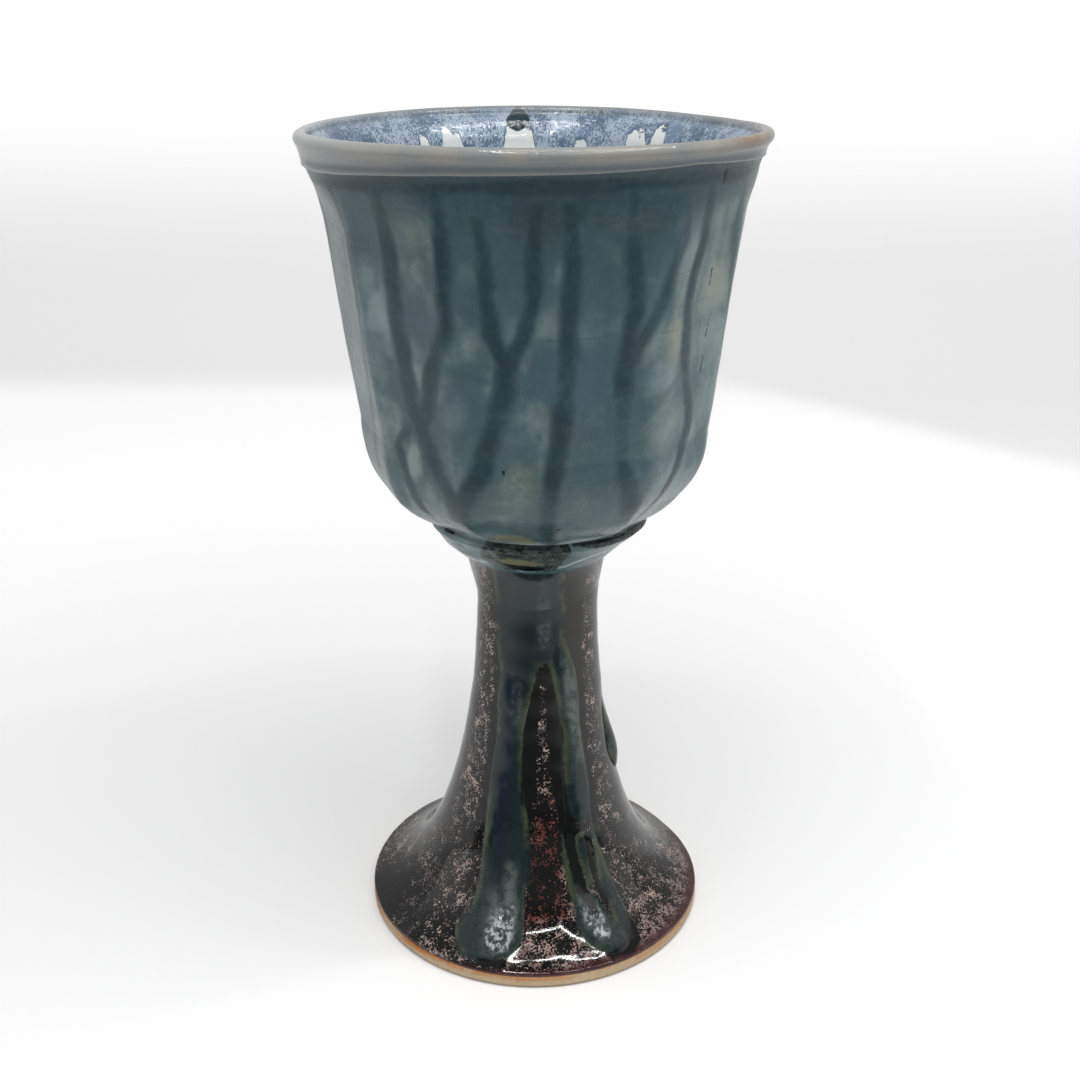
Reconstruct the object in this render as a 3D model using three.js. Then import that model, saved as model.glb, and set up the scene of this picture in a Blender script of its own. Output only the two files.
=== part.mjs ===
import * as THREE from 'three';

// A hand-thrown stoneware goblet, in millimetres. +Z is up, and the origin is the middle of the foot
// ring, on the surface that the goblet stands on. The front is towards -Y. A turn is an angle about +Z,
// in degrees from the front towards +X.

// Heights
const stemHeight = 88;
const collarHeight = 9.8;
const bowlHeight = 81;
const bareBand = 3.2; // unglazed clay round the edge of the foot
const neckLength = 12; // the stem widens over this length, up to its joint
const taperLength = 78.8; // from the bare band up to where the stem is narrowest
const baseStep = 1.2; // height of the bowl's turned base, between the collar and the wall's lower edge
const undersideRise = 21; // round underside of the bowl
const lipHeight = 7.8; // from the throat to the crest of the lip
const lipBand = 4.5; // from the edge of the liner's roll outside to the crest

// Radii
const footRadius = 39.2;
const flareRadius = 28.6; // the stem's taper at the foot, without the foot's own spread
const waistRadius = 13.4;
const jointRadius = 14.6;
const collarRadius = 23.7;
const bowlBaseRadius = 22.3; // lower edge of the faceted wall
const bellyRadius = 37.4; // over the arrises, where the underside becomes the wall
const throatRadius = 44.1;
const rollRadius = 45.8; // edge of the liner's roll, outside under the lip
const lipRadius = 47.6;
const lipBead = 1.4;

// Thicknesses
const footRingWidth = 7.6;
const footEdgeRound = 0.7;
const collarRound = 2.4;
const baseRecess = 1.5; // the turned base lies this far inside the coat on the collar's flat top
const stemWall = 4.85;
const bowlWall = 4; // at the middle of a facet, with both glazes
const bowlFloor = 6.5;
const glazeCoat = 0.5;
const seam = 0.1; // between a coat and the clay or glaze under it

// Curves, as the powers and lengths of their formulas
const taperPower = 2.2;
const footSpread = 6.2; // the foot's spread fades over this height
const cavityPower = 3.8;
const neckPower = 1.5;
const collarPower = 1.25;
const undersideFullness = 3;
const wallFlare = 0.95;
const lipTrumpet = 1.5; // the cup opens out into the lip
const cupRound = 19; // height of the round bottom inside the cup
const cupRoundEnd = 84; // degrees; inside this the floor is flat

// Facets cut into the wall by hand
const facetCount = 12;
const facetTurn = 6; // one arris, from the front
const facetFade = 10; // they run out into the round throat over this height
const scallopRise = 1.2; // their lower ends arch up by this much at the middle

// Steps of the solids
const stepsPerFacet = 3;
const stemSteps = 10;
const neckSteps = 2;
const stemCrowding = 1.8; // rings lie closer together towards the foot
const undersideSteps = 6;
const undersideCrowding = 1.3; // rings lie closer together towards the lower edge
const wallSteps = 4;
const beadSteps = 5;
const beadAngle = 45; // degrees from one ring of the lip's bead to the next
const cavitySteps = 7;
const collarSteps = 4;
const cupWallSteps = 4;
const cupRoundSteps = 4;
const runSteps = 11;
const runCrossSteps = 4;

const collarBase = stemHeight;
const bowlBase = stemHeight + collarHeight;
const wallEdge = bowlBase + baseStep;
const bellyHeight = wallEdge + undersideRise;
const throatHeight = bowlBase + bowlHeight - lipHeight;
const lipCrest = bowlBase + bowlHeight;
const boreRadius = waistRadius - stemWall;
const clayDepth = glazeCoat + seam;
const facetAngle = (2 * Math.PI) / facetCount;
const facetMiddle = Math.cos(facetAngle / 2);

const radians = THREE.MathUtils.degToRad;
const mix = THREE.MathUtils.lerp;

// A station is one ring of a solid: a radius and a height, with how far its wall is faceted and how
// far it arches up at the middle of each facet.
function station(radius, height, faceting = 0, arch = 0) {
  return { radius, height, faceting, arch };
}

// Outer radius of the glazed stem and foot.
function stemRadius(height) {
  const rise = height - bareBand;
  const waistHeight = stemHeight - neckLength;
  const taper = Math.max(0, 1 - rise / taperLength);
  const opening = Math.max(0, (height - waistHeight) / neckLength);
  const spread = Math.exp(-rise / footSpread);
  return (
    waistRadius +
    (flareRadius - waistRadius) * taper ** taperPower +
    (footRadius - flareRadius) * spread +
    (jointRadius - waistRadius) * opening ** neckPower
  );
}

// The stem's surface from the edge of the foot up its taper, and out again below the joint.
function stemStations() {
  const heights = [];
  const waistHeight = stemHeight - neckLength;
  for (let step = 0; step < stemSteps; step++) {
    heights.push(mix(bareBand, waistHeight, (step / stemSteps) ** stemCrowding));
  }
  for (let step = 0; step <= neckSteps; step++) {
    heights.push(mix(waistHeight, stemHeight - clayDepth / 2, step / neckSteps));
  }
  return heights.map((height) => station(stemRadius(height), height));
}

// The hollow under the stem narrows from the foot ring to a straight bore.
function cavityStations() {
  const stations = [];
  const mouthRadius = footRadius - footRingWidth;
  for (let step = 0; step <= cavitySteps; step++) {
    const height = stemHeight * (1 - step / cavitySteps) ** stemCrowding;
    const widening = (1 - height / stemHeight) ** cavityPower;
    stations.push(station(mix(boreRadius, mouthRadius, widening), height));
  }
  return stations;
}

// The collar spreads from the joint to a round shoulder and a narrow flat top.
function collarStations() {
  const stations = [];
  const top = bowlBase + clayDepth;
  const spreadTop = top - collarRound;
  for (let step = 0; step <= collarSteps; step++) {
    const share = step / collarSteps;
    const radius = mix(jointRadius, collarRadius, share ** collarPower);
    stations.push(station(radius, mix(collarBase + seam, spreadTop, share)));
  }
  const centre = collarRadius - collarRound;
  for (const angle of [radians(45), radians(90)]) {
    const radius = centre + collarRound * Math.cos(angle);
    stations.push(station(radius, spreadTop + collarRound * Math.sin(angle)));
  }
  stations.push(station(centre - glazeCoat, top));
  return stations;
}

function faceting(height) {
  const share = (throatHeight - height) / facetFade;
  return THREE.MathUtils.smoothstep(share, 0, 1);
}

// Outer radius of the bowl's wall over an arris, above its round underside.
function wallRadius(height) {
  const share = (height - bellyHeight) / (throatHeight - bellyHeight);
  return mix(bellyRadius, throatRadius, Math.max(0, share) ** wallFlare);
}

// Outside of the bowl, from its lower edge up to the throat.
function bowlOutside() {
  const stations = [];
  for (let step = 0; step < undersideSteps; step++) {
    const share = (step / undersideSteps) ** undersideCrowding;
    const fullness = 1 - (1 - share) ** undersideFullness;
    const radius = mix(bowlBaseRadius, bellyRadius, fullness);
    const arch = 4 * scallopRise * Math.sqrt(share) * (1 - Math.sqrt(share));
    stations.push(station(radius, wallEdge + undersideRise * share, 1, arch));
  }
  for (let step = 0; step <= wallSteps; step++) {
    const height = mix(bellyHeight, throatHeight, step / wallSteps);
    stations.push(station(wallRadius(height), height, faceting(height)));
  }
  return stations;
}

// The outer glaze ends just under the lip's roll of liner glaze.
function underLip() {
  return station(rollRadius - glazeCoat, lipCrest - lipBand - glazeCoat);
}

// The lip, from its roll of glaze outside, over the bead, to the opening of the cup.
function lipStations() {
  const centreRadius = lipRadius - lipBead;
  const centreHeight = lipCrest - lipBead;
  const stations = [station(rollRadius, lipCrest - lipBand)];
  for (let step = 0; step <= beadSteps; step++) {
    const angle = radians(beadAngle * (step - 1));
    const radius = centreRadius + lipBead * Math.cos(angle);
    stations.push(station(radius, centreHeight + lipBead * Math.sin(angle)));
  }
  const opened = 0.5 ** lipTrumpet;
  const radius = mix(throatRadius - bowlWall, centreRadius - lipBead, opened);
  stations.push(station(radius, (throatHeight + centreHeight) / 2));
  return stations;
}

function cupRadius(height) {
  const middle = wallRadius(height) * (1 - faceting(height) * (1 - facetMiddle));
  return middle - bowlWall;
}

// Inside of the cup, from the throat down the wall and round to the floor.
function cupStations() {
  const stations = [];
  const floorHeight = bowlBase + bowlFloor;
  const roundTop = floorHeight + cupRound;
  for (let step = 0; step < cupWallSteps; step++) {
    const height = mix(throatHeight, roundTop, step / cupWallSteps);
    stations.push(station(cupRadius(height), height));
  }
  for (let step = 0; step <= cupRoundSteps; step++) {
    const angle = radians(mix(0, cupRoundEnd, step / cupRoundSteps));
    const radius = cupRadius(roundTop) * Math.cos(angle);
    stations.push(station(radius, roundTop - cupRound * Math.sin(angle)));
  }
  return stations;
}

// The same stations moved into the material by a depth, square to the profile.
function sunk(stations, depth) {
  return stations.map((here, index) => {
    const before = stations[Math.max(0, index - 1)];
    const after = stations[Math.min(stations.length - 1, index + 1)];
    const run = new THREE.Vector2(after.radius - before.radius, after.height - before.height);
    run.normalize();
    return {
      ...here,
      radius: here.radius - depth * run.y,
      height: here.height + depth * run.x,
    };
  });
}

function facetRing(place) {
  const points = [];
  const steps = facetCount * stepsPerFacet;
  for (let step = 0; step < steps; step++) {
    const across = (step % stepsPerFacet) / stepsPerFacet;
    const flat = facetMiddle / Math.cos((across - 0.5) * facetAngle);
    const radius = place.radius * mix(1, flat, place.faceting);
    const turn = radians(facetTurn) + (step * facetAngle) / stepsPerFacet;
    const height = place.height + place.arch * 4 * across * (1 - across);
    points.push(new THREE.Vector3(radius * Math.sin(turn), -radius * Math.cos(turn), height));
  }
  return points;
}

// One closed solid through rings of points. Its ends are closed by flat fans, or joined to each other.
// Each quad is split along its shorter diagonal, so that parallel surfaces are split alike.
function solidThrough(rings, joined) {
  const count = rings[0].length;
  const points = rings.flat();
  const index = [];
  const at = (ring, step) => (ring % rings.length) * count + (step % count);
  const bands = joined ? rings.length : rings.length - 1;
  for (let ring = 0; ring < bands; ring++) {
    for (let step = 0; step < count; step++) {
      const [a, b] = [at(ring, step), at(ring, step + 1)];
      const [c, d] = [at(ring + 1, step + 1), at(ring + 1, step)];
      if (points[a].distanceTo(points[c]) < points[b].distanceTo(points[d])) {
        index.push(a, b, c, a, c, d);
      } else {
        index.push(a, b, d, b, c, d);
      }
    }
  }
  if (!joined) {
    const first = points.length;
    const last = first + 1;
    for (const ring of [rings[0], rings.at(-1)]) {
      const middle = new THREE.Vector3();
      ring.forEach((point) => middle.addScaledVector(point, 1 / count));
      points.push(middle);
    }
    for (let step = 0; step < count; step++) {
      index.push(first, at(0, step + 1), at(0, step));
      index.push(last, at(rings.length - 1, step), at(rings.length - 1, step + 1));
    }
  }
  const geometry = new THREE.BufferGeometry().setFromPoints(points);
  geometry.setIndex(index);
  geometry.computeVertexNormals();
  return geometry;
}

// A thin coat of glaze over the first or the chosen stations of a profile.
function coat(profile, first, end) {
  const outer = profile.slice(first, end);
  const inner = sunk(profile, glazeCoat).slice(first, end).reverse();
  return solidThrough([...outer, ...inner].map(facetRing), true);
}

const goblet = new THREE.Group();

function addPiece(name, geometry, colour, roughness) {
  const material = new THREE.MeshStandardMaterial({ color: colour, roughness, metalness: 0 });
  const piece = new THREE.Mesh(geometry, material);
  piece.name = name;
  goblet.add(piece);
}

const bareClay = 0xc8a67e;
const blueGreen = 0x5b7277;
const paleLiner = 0xb4bcc8;
const blackBrown = 0x2b211f;
const deepTeal = 0x2f4649;

const outside = [...bowlOutside(), underLip()];
const bowlProfile = [...outside, ...lipStations(), ...cupStations()];

// The bowl: a flat turned base, a round underside and wall with cut facets, a beaded lip and the cup.
function bowlSolid() {
  const baseRadius = collarRadius - collarRound - glazeCoat - baseRecess;
  const base = [station(baseRadius, bowlBase), station(baseRadius, wallEdge)];
  const clay = sunk(bowlProfile, clayDepth);
  return solidThrough([...base, ...clay].map(facetRing), false);
}

// The liner glaze covers the cup and rolls over the lip, down to its edge outside.
function linerSolid() {
  const over = bowlProfile.slice(outside.length);
  const under = sunk(bowlProfile, glazeCoat).slice(outside.length).reverse();
  return solidThrough([...under, ...over].map(facetRing), false);
}

// The collar of joining clay: its flat top carries the bowl, and its bore continues the stem's.
function collarSolid() {
  const rings = [
    station(boreRadius, collarBase),
    station(jointRadius - 2 * clayDepth, collarBase),
    ...sunk(collarStations(), clayDepth),
    station(boreRadius, bowlBase),
  ];
  return solidThrough(rings.map(facetRing), true);
}

// The stem: one thrown piece with its foot, hollow from below, standing on a flat bare ring.
function stemSolid() {
  const clay = sunk(stemStations(), clayDepth);
  const mouthRadius = footRadius - footRingWidth;
  const rings = [
    station(mouthRadius, 0),
    station(footRadius - footEdgeRound, 0),
    station(footRadius, footEdgeRound),
    station(footRadius, bareBand - footEdgeRound),
    ...clay,
    station(jointRadius - 2 * clayDepth, stemHeight),
    ...cavityStations().slice(0, -1),
  ];
  return solidThrough(rings.map(facetRing), true);
}

// A run of glaze follows the stem's flare down to a fat drop. Its top and bottom are shares of the way
// up from the edge of the foot to the joint, and its breadth and depth are shares of the largest drop's.
const dropWidth = 15;
const dropDepth = 2.1;
const dropLength = 10;
const filmDepth = 0.65;
const pinchLength = 3;
const runEdge = 0.15; // thickness of a run at its edges
const runEnd = 0.2; // share of its width and depth that is left at either end
const runBluntness = 8; // power that keeps a run broad up to its ends
const runWidening = 1.5; // power by which it widens on its way down
const runSeam = 2 * seam;
const runs = [
  {
    name: 'glaze_run_left', top: 0.693, bottom: 0.014, topTurn: -20, bottomTurn: -19,
    breadth: 1, narrowing: 0.43, depth: 0.9,
  },
  {
    name: 'glaze_run_right', top: 0.788, bottom: 0.012, topTurn: 23, bottomTurn: 30,
    breadth: 0.93, narrowing: 0.33, depth: 1, pinch: 0.6, pinchAt: 0.275,
  },
  {
    name: 'glaze_run_side', top: 0.6, bottom: 0.328, topTurn: 82, bottomTurn: 86,
    breadth: 0.43, narrowing: 0.62, depth: 0.62,
  },
  {
    name: 'glaze_run_back_right', top: 0.67, bottom: 0.163, topTurn: 146, bottomTurn: 149,
    breadth: 0.6, narrowing: 0.51, depth: 0.76,
  },
  {
    name: 'glaze_run_back_left', top: 0.74, bottom: 0.033, topTurn: -136, bottomTurn: -140,
    breadth: 0.87, narrowing: 0.38, depth: 0.86,
  },
];

// The stem's surface as its rings make it, straight from one ring to the next.
function stemSurface(stations, height) {
  const upper = Math.max(1, stations.findIndex((place) => place.height >= height));
  const below = stations[upper - 1];
  const above = stations[upper];
  const share = (height - below.height) / (above.height - below.height);
  const slope = (above.radius - below.radius) / (above.height - below.height);
  return { radius: mix(below.radius, above.radius, share), slope };
}

// Share of a run's width that is lost near its pinch, where it has one.
function pinching(run, height) {
  if (!run.pinch) {
    return 0;
  }
  const pinchHeight = mix(bareBand, stemHeight, run.pinchAt);
  return run.pinch * Math.exp(-(((height - pinchHeight) / pinchLength) ** 2));
}

function runSection(run, stations, share) {
  const height = mix(bareBand, stemHeight, mix(run.top, run.bottom, share));
  const tip = mix(bareBand, stemHeight, run.bottom);
  const surface = stemSurface(stations, height);
  const steepness = Math.hypot(1, surface.slope);
  const fromTip = (height - tip) / dropLength;
  const swell = fromTip < 1 ? Math.sin(Math.PI * Math.sqrt(fromTip)) : 0;
  const ending = Math.sqrt(Math.max(0, 1 - (2 * share - 1) ** runBluntness));
  const closing = mix(runEnd, 1, ending);
  const spread = mix(run.narrowing, 1, share ** runWidening) * (1 - pinching(run, height));
  const width = dropWidth * run.breadth * spread * closing;
  const thickness = mix(filmDepth, dropDepth * run.depth, swell) * closing;
  const turn = radians(mix(run.topTurn, run.bottomTurn, share));

  const place = (across, lift) => {
    const radius = surface.radius + runSeam + lift / steepness;
    const angle = turn + (across * width) / (2 * surface.radius);
    const z = height - (lift * surface.slope) / steepness;
    return new THREE.Vector3(radius * Math.sin(angle), -radius * Math.cos(angle), z);
  };
  const under = [];
  const over = [];
  for (let step = 0; step <= runCrossSteps; step++) {
    const across = (2 * step) / runCrossSteps - 1;
    under.push(place(across, 0));
    over.unshift(place(across, runEdge + thickness * (1 - across ** 2)));
  }
  return [...under, ...over];
}

function runSolid(run) {
  const stations = stemStations();
  const sections = [];
  for (let step = 0; step <= runSteps; step++) {
    const share = (1 - Math.cos((Math.PI * step) / runSteps)) / 2;
    sections.push(runSection(run, stations, share));
  }
  return solidThrough(sections, false);
}

addPiece('stem_foot', stemSolid(), bareClay, 0.85);
addPiece('joint_collar', collarSolid(), bareClay, 0.85);
addPiece('bowl', bowlSolid(), bareClay, 0.85);
addPiece('stem_glaze', coat(stemStations()), blackBrown, 0.15);
addPiece('collar_glaze', coat(collarStations()), blueGreen, 0.15);
addPiece('bowl_glaze', coat(bowlProfile, 0, outside.length), blueGreen, 0.15);
addPiece('liner_glaze', linerSolid(), paleLiner, 0.15);
for (const run of runs) {
  addPiece(run.name, runSolid(run), deepTeal, 0.08);
}

export default goblet;
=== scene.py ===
"""A hand-thrown, faceted stoneware goblet, dressed in its clay, its glazes and its raised runs.

The pieces are turned outlines, faceted and closed by Geometry Nodes. Their glaze is laid on by
place: a turn about the goblet's axis, in degrees from the front towards +X, and a height in
millimetres.
"""

import logging
import math
from dataclasses import dataclass, field
from enum import Enum

import bpy
import numpy as np
from bpy.types import Material, Mesh, Node, NodeSocket, NodeTree, Object
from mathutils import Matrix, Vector


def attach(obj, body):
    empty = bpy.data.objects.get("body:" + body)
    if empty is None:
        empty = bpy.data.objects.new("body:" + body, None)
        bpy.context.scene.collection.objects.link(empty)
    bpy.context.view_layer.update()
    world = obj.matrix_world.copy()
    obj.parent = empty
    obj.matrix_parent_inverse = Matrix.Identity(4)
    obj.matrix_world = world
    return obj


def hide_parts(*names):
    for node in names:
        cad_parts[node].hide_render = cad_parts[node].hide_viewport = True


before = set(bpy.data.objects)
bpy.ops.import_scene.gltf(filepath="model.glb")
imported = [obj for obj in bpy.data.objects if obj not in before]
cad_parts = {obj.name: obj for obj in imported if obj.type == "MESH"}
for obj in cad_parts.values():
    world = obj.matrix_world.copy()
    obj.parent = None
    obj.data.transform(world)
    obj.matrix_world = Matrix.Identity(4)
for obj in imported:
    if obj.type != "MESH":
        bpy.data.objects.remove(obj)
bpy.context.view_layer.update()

log = logging.getLogger("goblet")

MM = 0.001

# The facets
FACETS = 12
FACET_ANGLE = 360.0 / FACETS
FIRST_ARRIS = 6.0
ARRIS_SOFTNESS = 0.036
FACET_MIDDLE = math.cos(math.pi / FACETS)

# How finely the pieces are turned: points in a ring, and rings of the liner's lower edge
FINE_RING = 432
RING = 384
FOOT_RING = 288
HIDDEN_RING = 144
ROLL_ROWS = 10

# What each row of an outline and of a run carries, and the columns that are read back
ROW_NAMES = ("radius", "height", "faceting", "arch", "row_shows")
RADIUS, HEIGHT, SHOWS = 0, 1, 4
RUN_NAMES = ("radius", "height", "left", "right", "lift", "slope", "under")
RUN_ROWS = 150
RUN_COLUMNS = 44
SEAM = 0.25

# Where the foot was pressed in: its turn, its reach, the heights it fades between, its share
DENT_TURN = 122.0
DENT_REACH = 60.0
DENT_HEIGHTS = (18.0, 6.0)
DENT_SHARE = 0.026

# The sockets of a Mix node that mixes colours
COLOUR_MIX_INPUTS = (0, 6, 7)
COLOUR_MIX_RESULT = 2

Sockets = bpy.types.bpy_prop_collection


class Slot(Enum):
    """The record's material slots."""

    CLAY = "clay"
    DARK = "dark_glaze"
    BLUE_GREEN = "blue_green_glaze"
    LINER = "liner_glaze"
    RUN = "run_glaze"


# Numbers on the surface


def smooth(low: float, high: float, value: np.ndarray) -> np.ndarray:
    """A smooth step from 0 at low to 1 at high.

    Args:
        low: The value that gives 0.
        high: The value that gives 1, above or below low.
        value: The numbers to step.

    Returns:
        Numbers from 0 to 1.
    """
    share = np.clip((value - low) / (high - low), 0.0, 1.0)
    return share * share * (3.0 - 2.0 * share)


def bump(centre: float, reach: float, value: np.ndarray) -> np.ndarray:
    """A bell that is 1 at its centre and has faded at its reach."""
    return np.exp(-(((value - centre) / (0.5 * reach)) ** 2))


def turned_from(centre: float, turn: np.ndarray) -> np.ndarray:
    """The angle from a centre to each turn, in degrees from -180 to 180."""
    return (turn - centre + 180.0) % 360.0 - 180.0


class LatticeNoise:
    """Smooth noise in space from a seeded table, the same on every run."""

    side = 24
    shift = 17.3
    evening = 1.5

    def __init__(self, seed: int) -> None:
        """Fills the table."""
        self.table = np.random.default_rng(seed).random((self.side,) * 3) * 2.0 - 1.0

    def at(self, points: np.ndarray, cell: tuple[float, float, float]) -> np.ndarray:
        """Reads the noise.

        Args:
            points: Places, one to a row, in millimetres.
            cell: The size of the noise along each axis, in millimetres.

        Returns:
            A number from -1 to 1 for each place.
        """
        place = points / np.array(cell) + 0.5 * self.side
        corner = np.floor(place).astype(int)
        share = place - corner
        share = share * share * (3.0 - 2.0 * share)
        total = np.zeros(len(points))
        for x in (0, 1):
            for y in (0, 1):
                for z in (0, 1):
                    index = (corner + (x, y, z)) % self.side
                    near = np.abs(1 - np.array((x, y, z)) - share)
                    weight = near.prod(axis=1)
                    total += weight * self.table[index[:, 0], index[:, 1], index[:, 2]]
        return total

    def rough(
        self, points: np.ndarray, cell: tuple[float, float, float], octaves: int = 3
    ) -> np.ndarray:
        """Adds finer copies of the noise, each half as strong.

        Args:
            points: Places, one to a row, in millimetres.
            cell: The size of the coarsest copy along each axis.
            octaves: How many copies are added.

        Returns:
            A number near -1 to 1 for each place.
        """
        total = np.zeros(len(points))
        for octave in range(octaves):
            scale = 0.5**octave
            finer = tuple(length * scale for length in cell)
            total += scale * self.at(points + self.shift * octave, finer)
        return total / self.evening


@dataclass
class Surface:
    """Where a mesh's points lie on the goblet."""

    points: np.ndarray
    turn: np.ndarray
    height: np.ndarray
    radius: np.ndarray

    @classmethod
    def of(cls, points: np.ndarray) -> "Surface":
        """Reads the turn, height and radius of points in millimetres."""
        x, y, z = points.T
        return cls(points, np.degrees(np.arctan2(x, -y)), z, np.hypot(x, y))

    def across(self, turns: np.ndarray) -> np.ndarray:
        """Millimetres round the surface for a number of degrees."""
        return np.radians(turns) * self.radius


@dataclass(frozen=True)
class Trail:
    """A soft streak where the glaze ran: its places going down, its width and its depth."""

    places: tuple[tuple[float, float], ...]
    width: float = 3.4
    depth: float = 1.0
    fade: float = 5.0

    def on(self, surface: Surface) -> np.ndarray:
        """How deep the streak is at each point.

        Args:
            surface: The places to read.

        Returns:
            From 0 off the streak to its depth along its middle.
        """
        turns, heights = np.array(self.places[::-1]).T
        centre = np.interp(surface.height, heights, turns)
        slope = np.gradient(turns, heights)
        lean = np.radians(np.interp(surface.height, heights, slope)) * surface.radius
        away = np.abs(surface.across(turned_from(centre, surface.turn)))
        away = away / np.hypot(1.0, lean)
        body = smooth(self.width, 0.1 * self.width, away)
        ends = smooth(heights[0] - self.fade, heights[0] + 1.0, surface.height)
        ends = ends * smooth(heights[-1] + self.fade, heights[-1] - 1.0, surface.height)
        return self.depth * body * ends


@dataclass(frozen=True)
class Cell:
    """A thin, pale place between the streaks: its place, half sizes, strength and buff tint."""

    turn: float
    height: float
    wide: float
    tall: float
    strength: float
    buff: float = 0.0

    def on(self, surface: Surface) -> np.ndarray:
        """How thin the glaze is at each point, from 0 to the cell's strength."""
        side = surface.across(turned_from(self.turn, surface.turn)) / self.wide
        rise = (surface.height - self.height) / self.tall
        waist = 1.0 - 0.22 * np.clip(rise, -1.0, 1.0)
        return self.strength * smooth(1.6, 0.15, np.hypot(side / waist, rise))


@dataclass(frozen=True)
class Patch:
    """A patch of glaze: at heights going down, its left and right turns."""

    rows: tuple[tuple[float, float, float], ...]

    def inside(self, surface: Surface) -> np.ndarray:
        """Millimetres from each point to the patch's edge, above 0 inside it."""
        heights, left, right = np.array(self.rows[::-1]).T
        middle = np.interp(surface.height, heights, 0.5 * (left + right))
        half = np.interp(surface.height, heights, 0.5 * (right - left))
        from_middle = np.abs(turned_from(middle, surface.turn))
        side = surface.across(half - from_middle)
        above = surface.height - heights[0]
        below = heights[-1] - surface.height
        return np.minimum(side, np.minimum(above, below))


def deepest(depths: list[np.ndarray]) -> np.ndarray:
    """The largest of several depths at each point."""
    return np.maximum.reduce(depths)


def within(patches: tuple, surface: Surface) -> np.ndarray:
    """Millimetres into the nearest of several patches, below 0 outside them all."""
    return deepest([Patch(rows).inside(surface) for rows in patches])


# Turned outlines


@dataclass
class Profile:
    """A turned outline, a row to a ring: radius, height, faceting, arch and whether it shows."""

    rows: np.ndarray

    @classmethod
    def of(
        cls,
        radius: np.ndarray,
        height: np.ndarray,
        faceting: np.ndarray | float = 0.0,
        arch: np.ndarray | float = 0.0,
    ) -> "Profile":
        """Makes an outline that shows, in millimetres."""
        columns = np.broadcast_arrays(radius, height, faceting, arch, 1.0)
        return cls(np.stack(columns, axis=1).astype(float))

    @property
    def radius(self) -> np.ndarray:
        """The rings' radii."""
        return self.rows[:, RADIUS]

    @property
    def height(self) -> np.ndarray:
        """The rings' heights."""
        return self.rows[:, HEIGHT]

    def ring(self, number: int) -> tuple[float, float]:
        """The radius and the height of one ring."""
        return self.radius[number], self.height[number]

    def then(self, *others: "Profile") -> "Profile":
        """This outline with others after it."""
        return Profile(np.concatenate([self.rows, *(other.rows for other in others)]))

    def hidden(self, depth: float, count: int) -> "Profile":
        """The way back, under the surface.

        Args:
            depth: How far it lies in the material, square to this outline.
            count: How many rings it has.

        Returns:
            An outline that runs the other way and doesn't show.
        """
        run = np.gradient(self.rows[:, :2], axis=0)
        run /= np.maximum(np.linalg.norm(run, axis=1, keepdims=True), 1e-9)
        rows = self.rows.copy()
        rows[:, RADIUS] = np.maximum(rows[:, RADIUS] - depth * run[:, HEIGHT], 0.0)
        rows[:, HEIGHT] += depth * run[:, RADIUS]
        rows[:, SHOWS] = 0.0
        chosen = np.linspace(len(rows) - 1, 0, count).round().astype(int)
        return Profile(rows[chosen])

    def closed(self) -> "Profile":
        """This outline, brought back to its first ring."""
        return Profile(np.concatenate([self.rows, self.rows[:1]]))


def arc(
    centre: tuple[float, float], radius: float, start: float, end: float, count: int
) -> Profile:
    """Part of a circle in the outline.

    Args:
        centre: Its centre's radius and height.
        radius: Its own radius.
        start: The angle that it starts at, in degrees from outwards towards up.
        end: The angle that it ends at.
        count: How many rings it has.

    Returns:
        The outline.
    """
    angle = np.radians(np.linspace(start, end, count))
    return Profile.of(centre[0] + radius * np.cos(angle), centre[1] + radius * np.sin(angle))


def bridge(
    start: tuple[float, float],
    end: tuple[float, float],
    leaving: tuple[float, float],
    arriving: tuple[float, float],
    count: int,
) -> Profile:
    """A smooth curve between two places of the outline, without the places themselves.

    Args:
        start: Radius and height where it starts.
        end: Radius and height where it ends.
        leaving: Its direction at the start, as long as the bend is wide.
        arriving: Its direction at the end.
        count: How many rings it has.

    Returns:
        The outline.
    """
    t = np.linspace(0.0, 1.0, count + 2)[1:-1, None]
    a, b, u, v = (np.array(each) for each in (start, end, leaving, arriving))
    curve = (2 * t**3 - 3 * t**2 + 1) * a + (t**3 - 2 * t**2 + t) * u
    curve = curve + (3 * t**2 - 2 * t**3) * b + (t**3 - t**2) * v
    return Profile.of(curve[:, 0], curve[:, 1])


# Node trees


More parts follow.
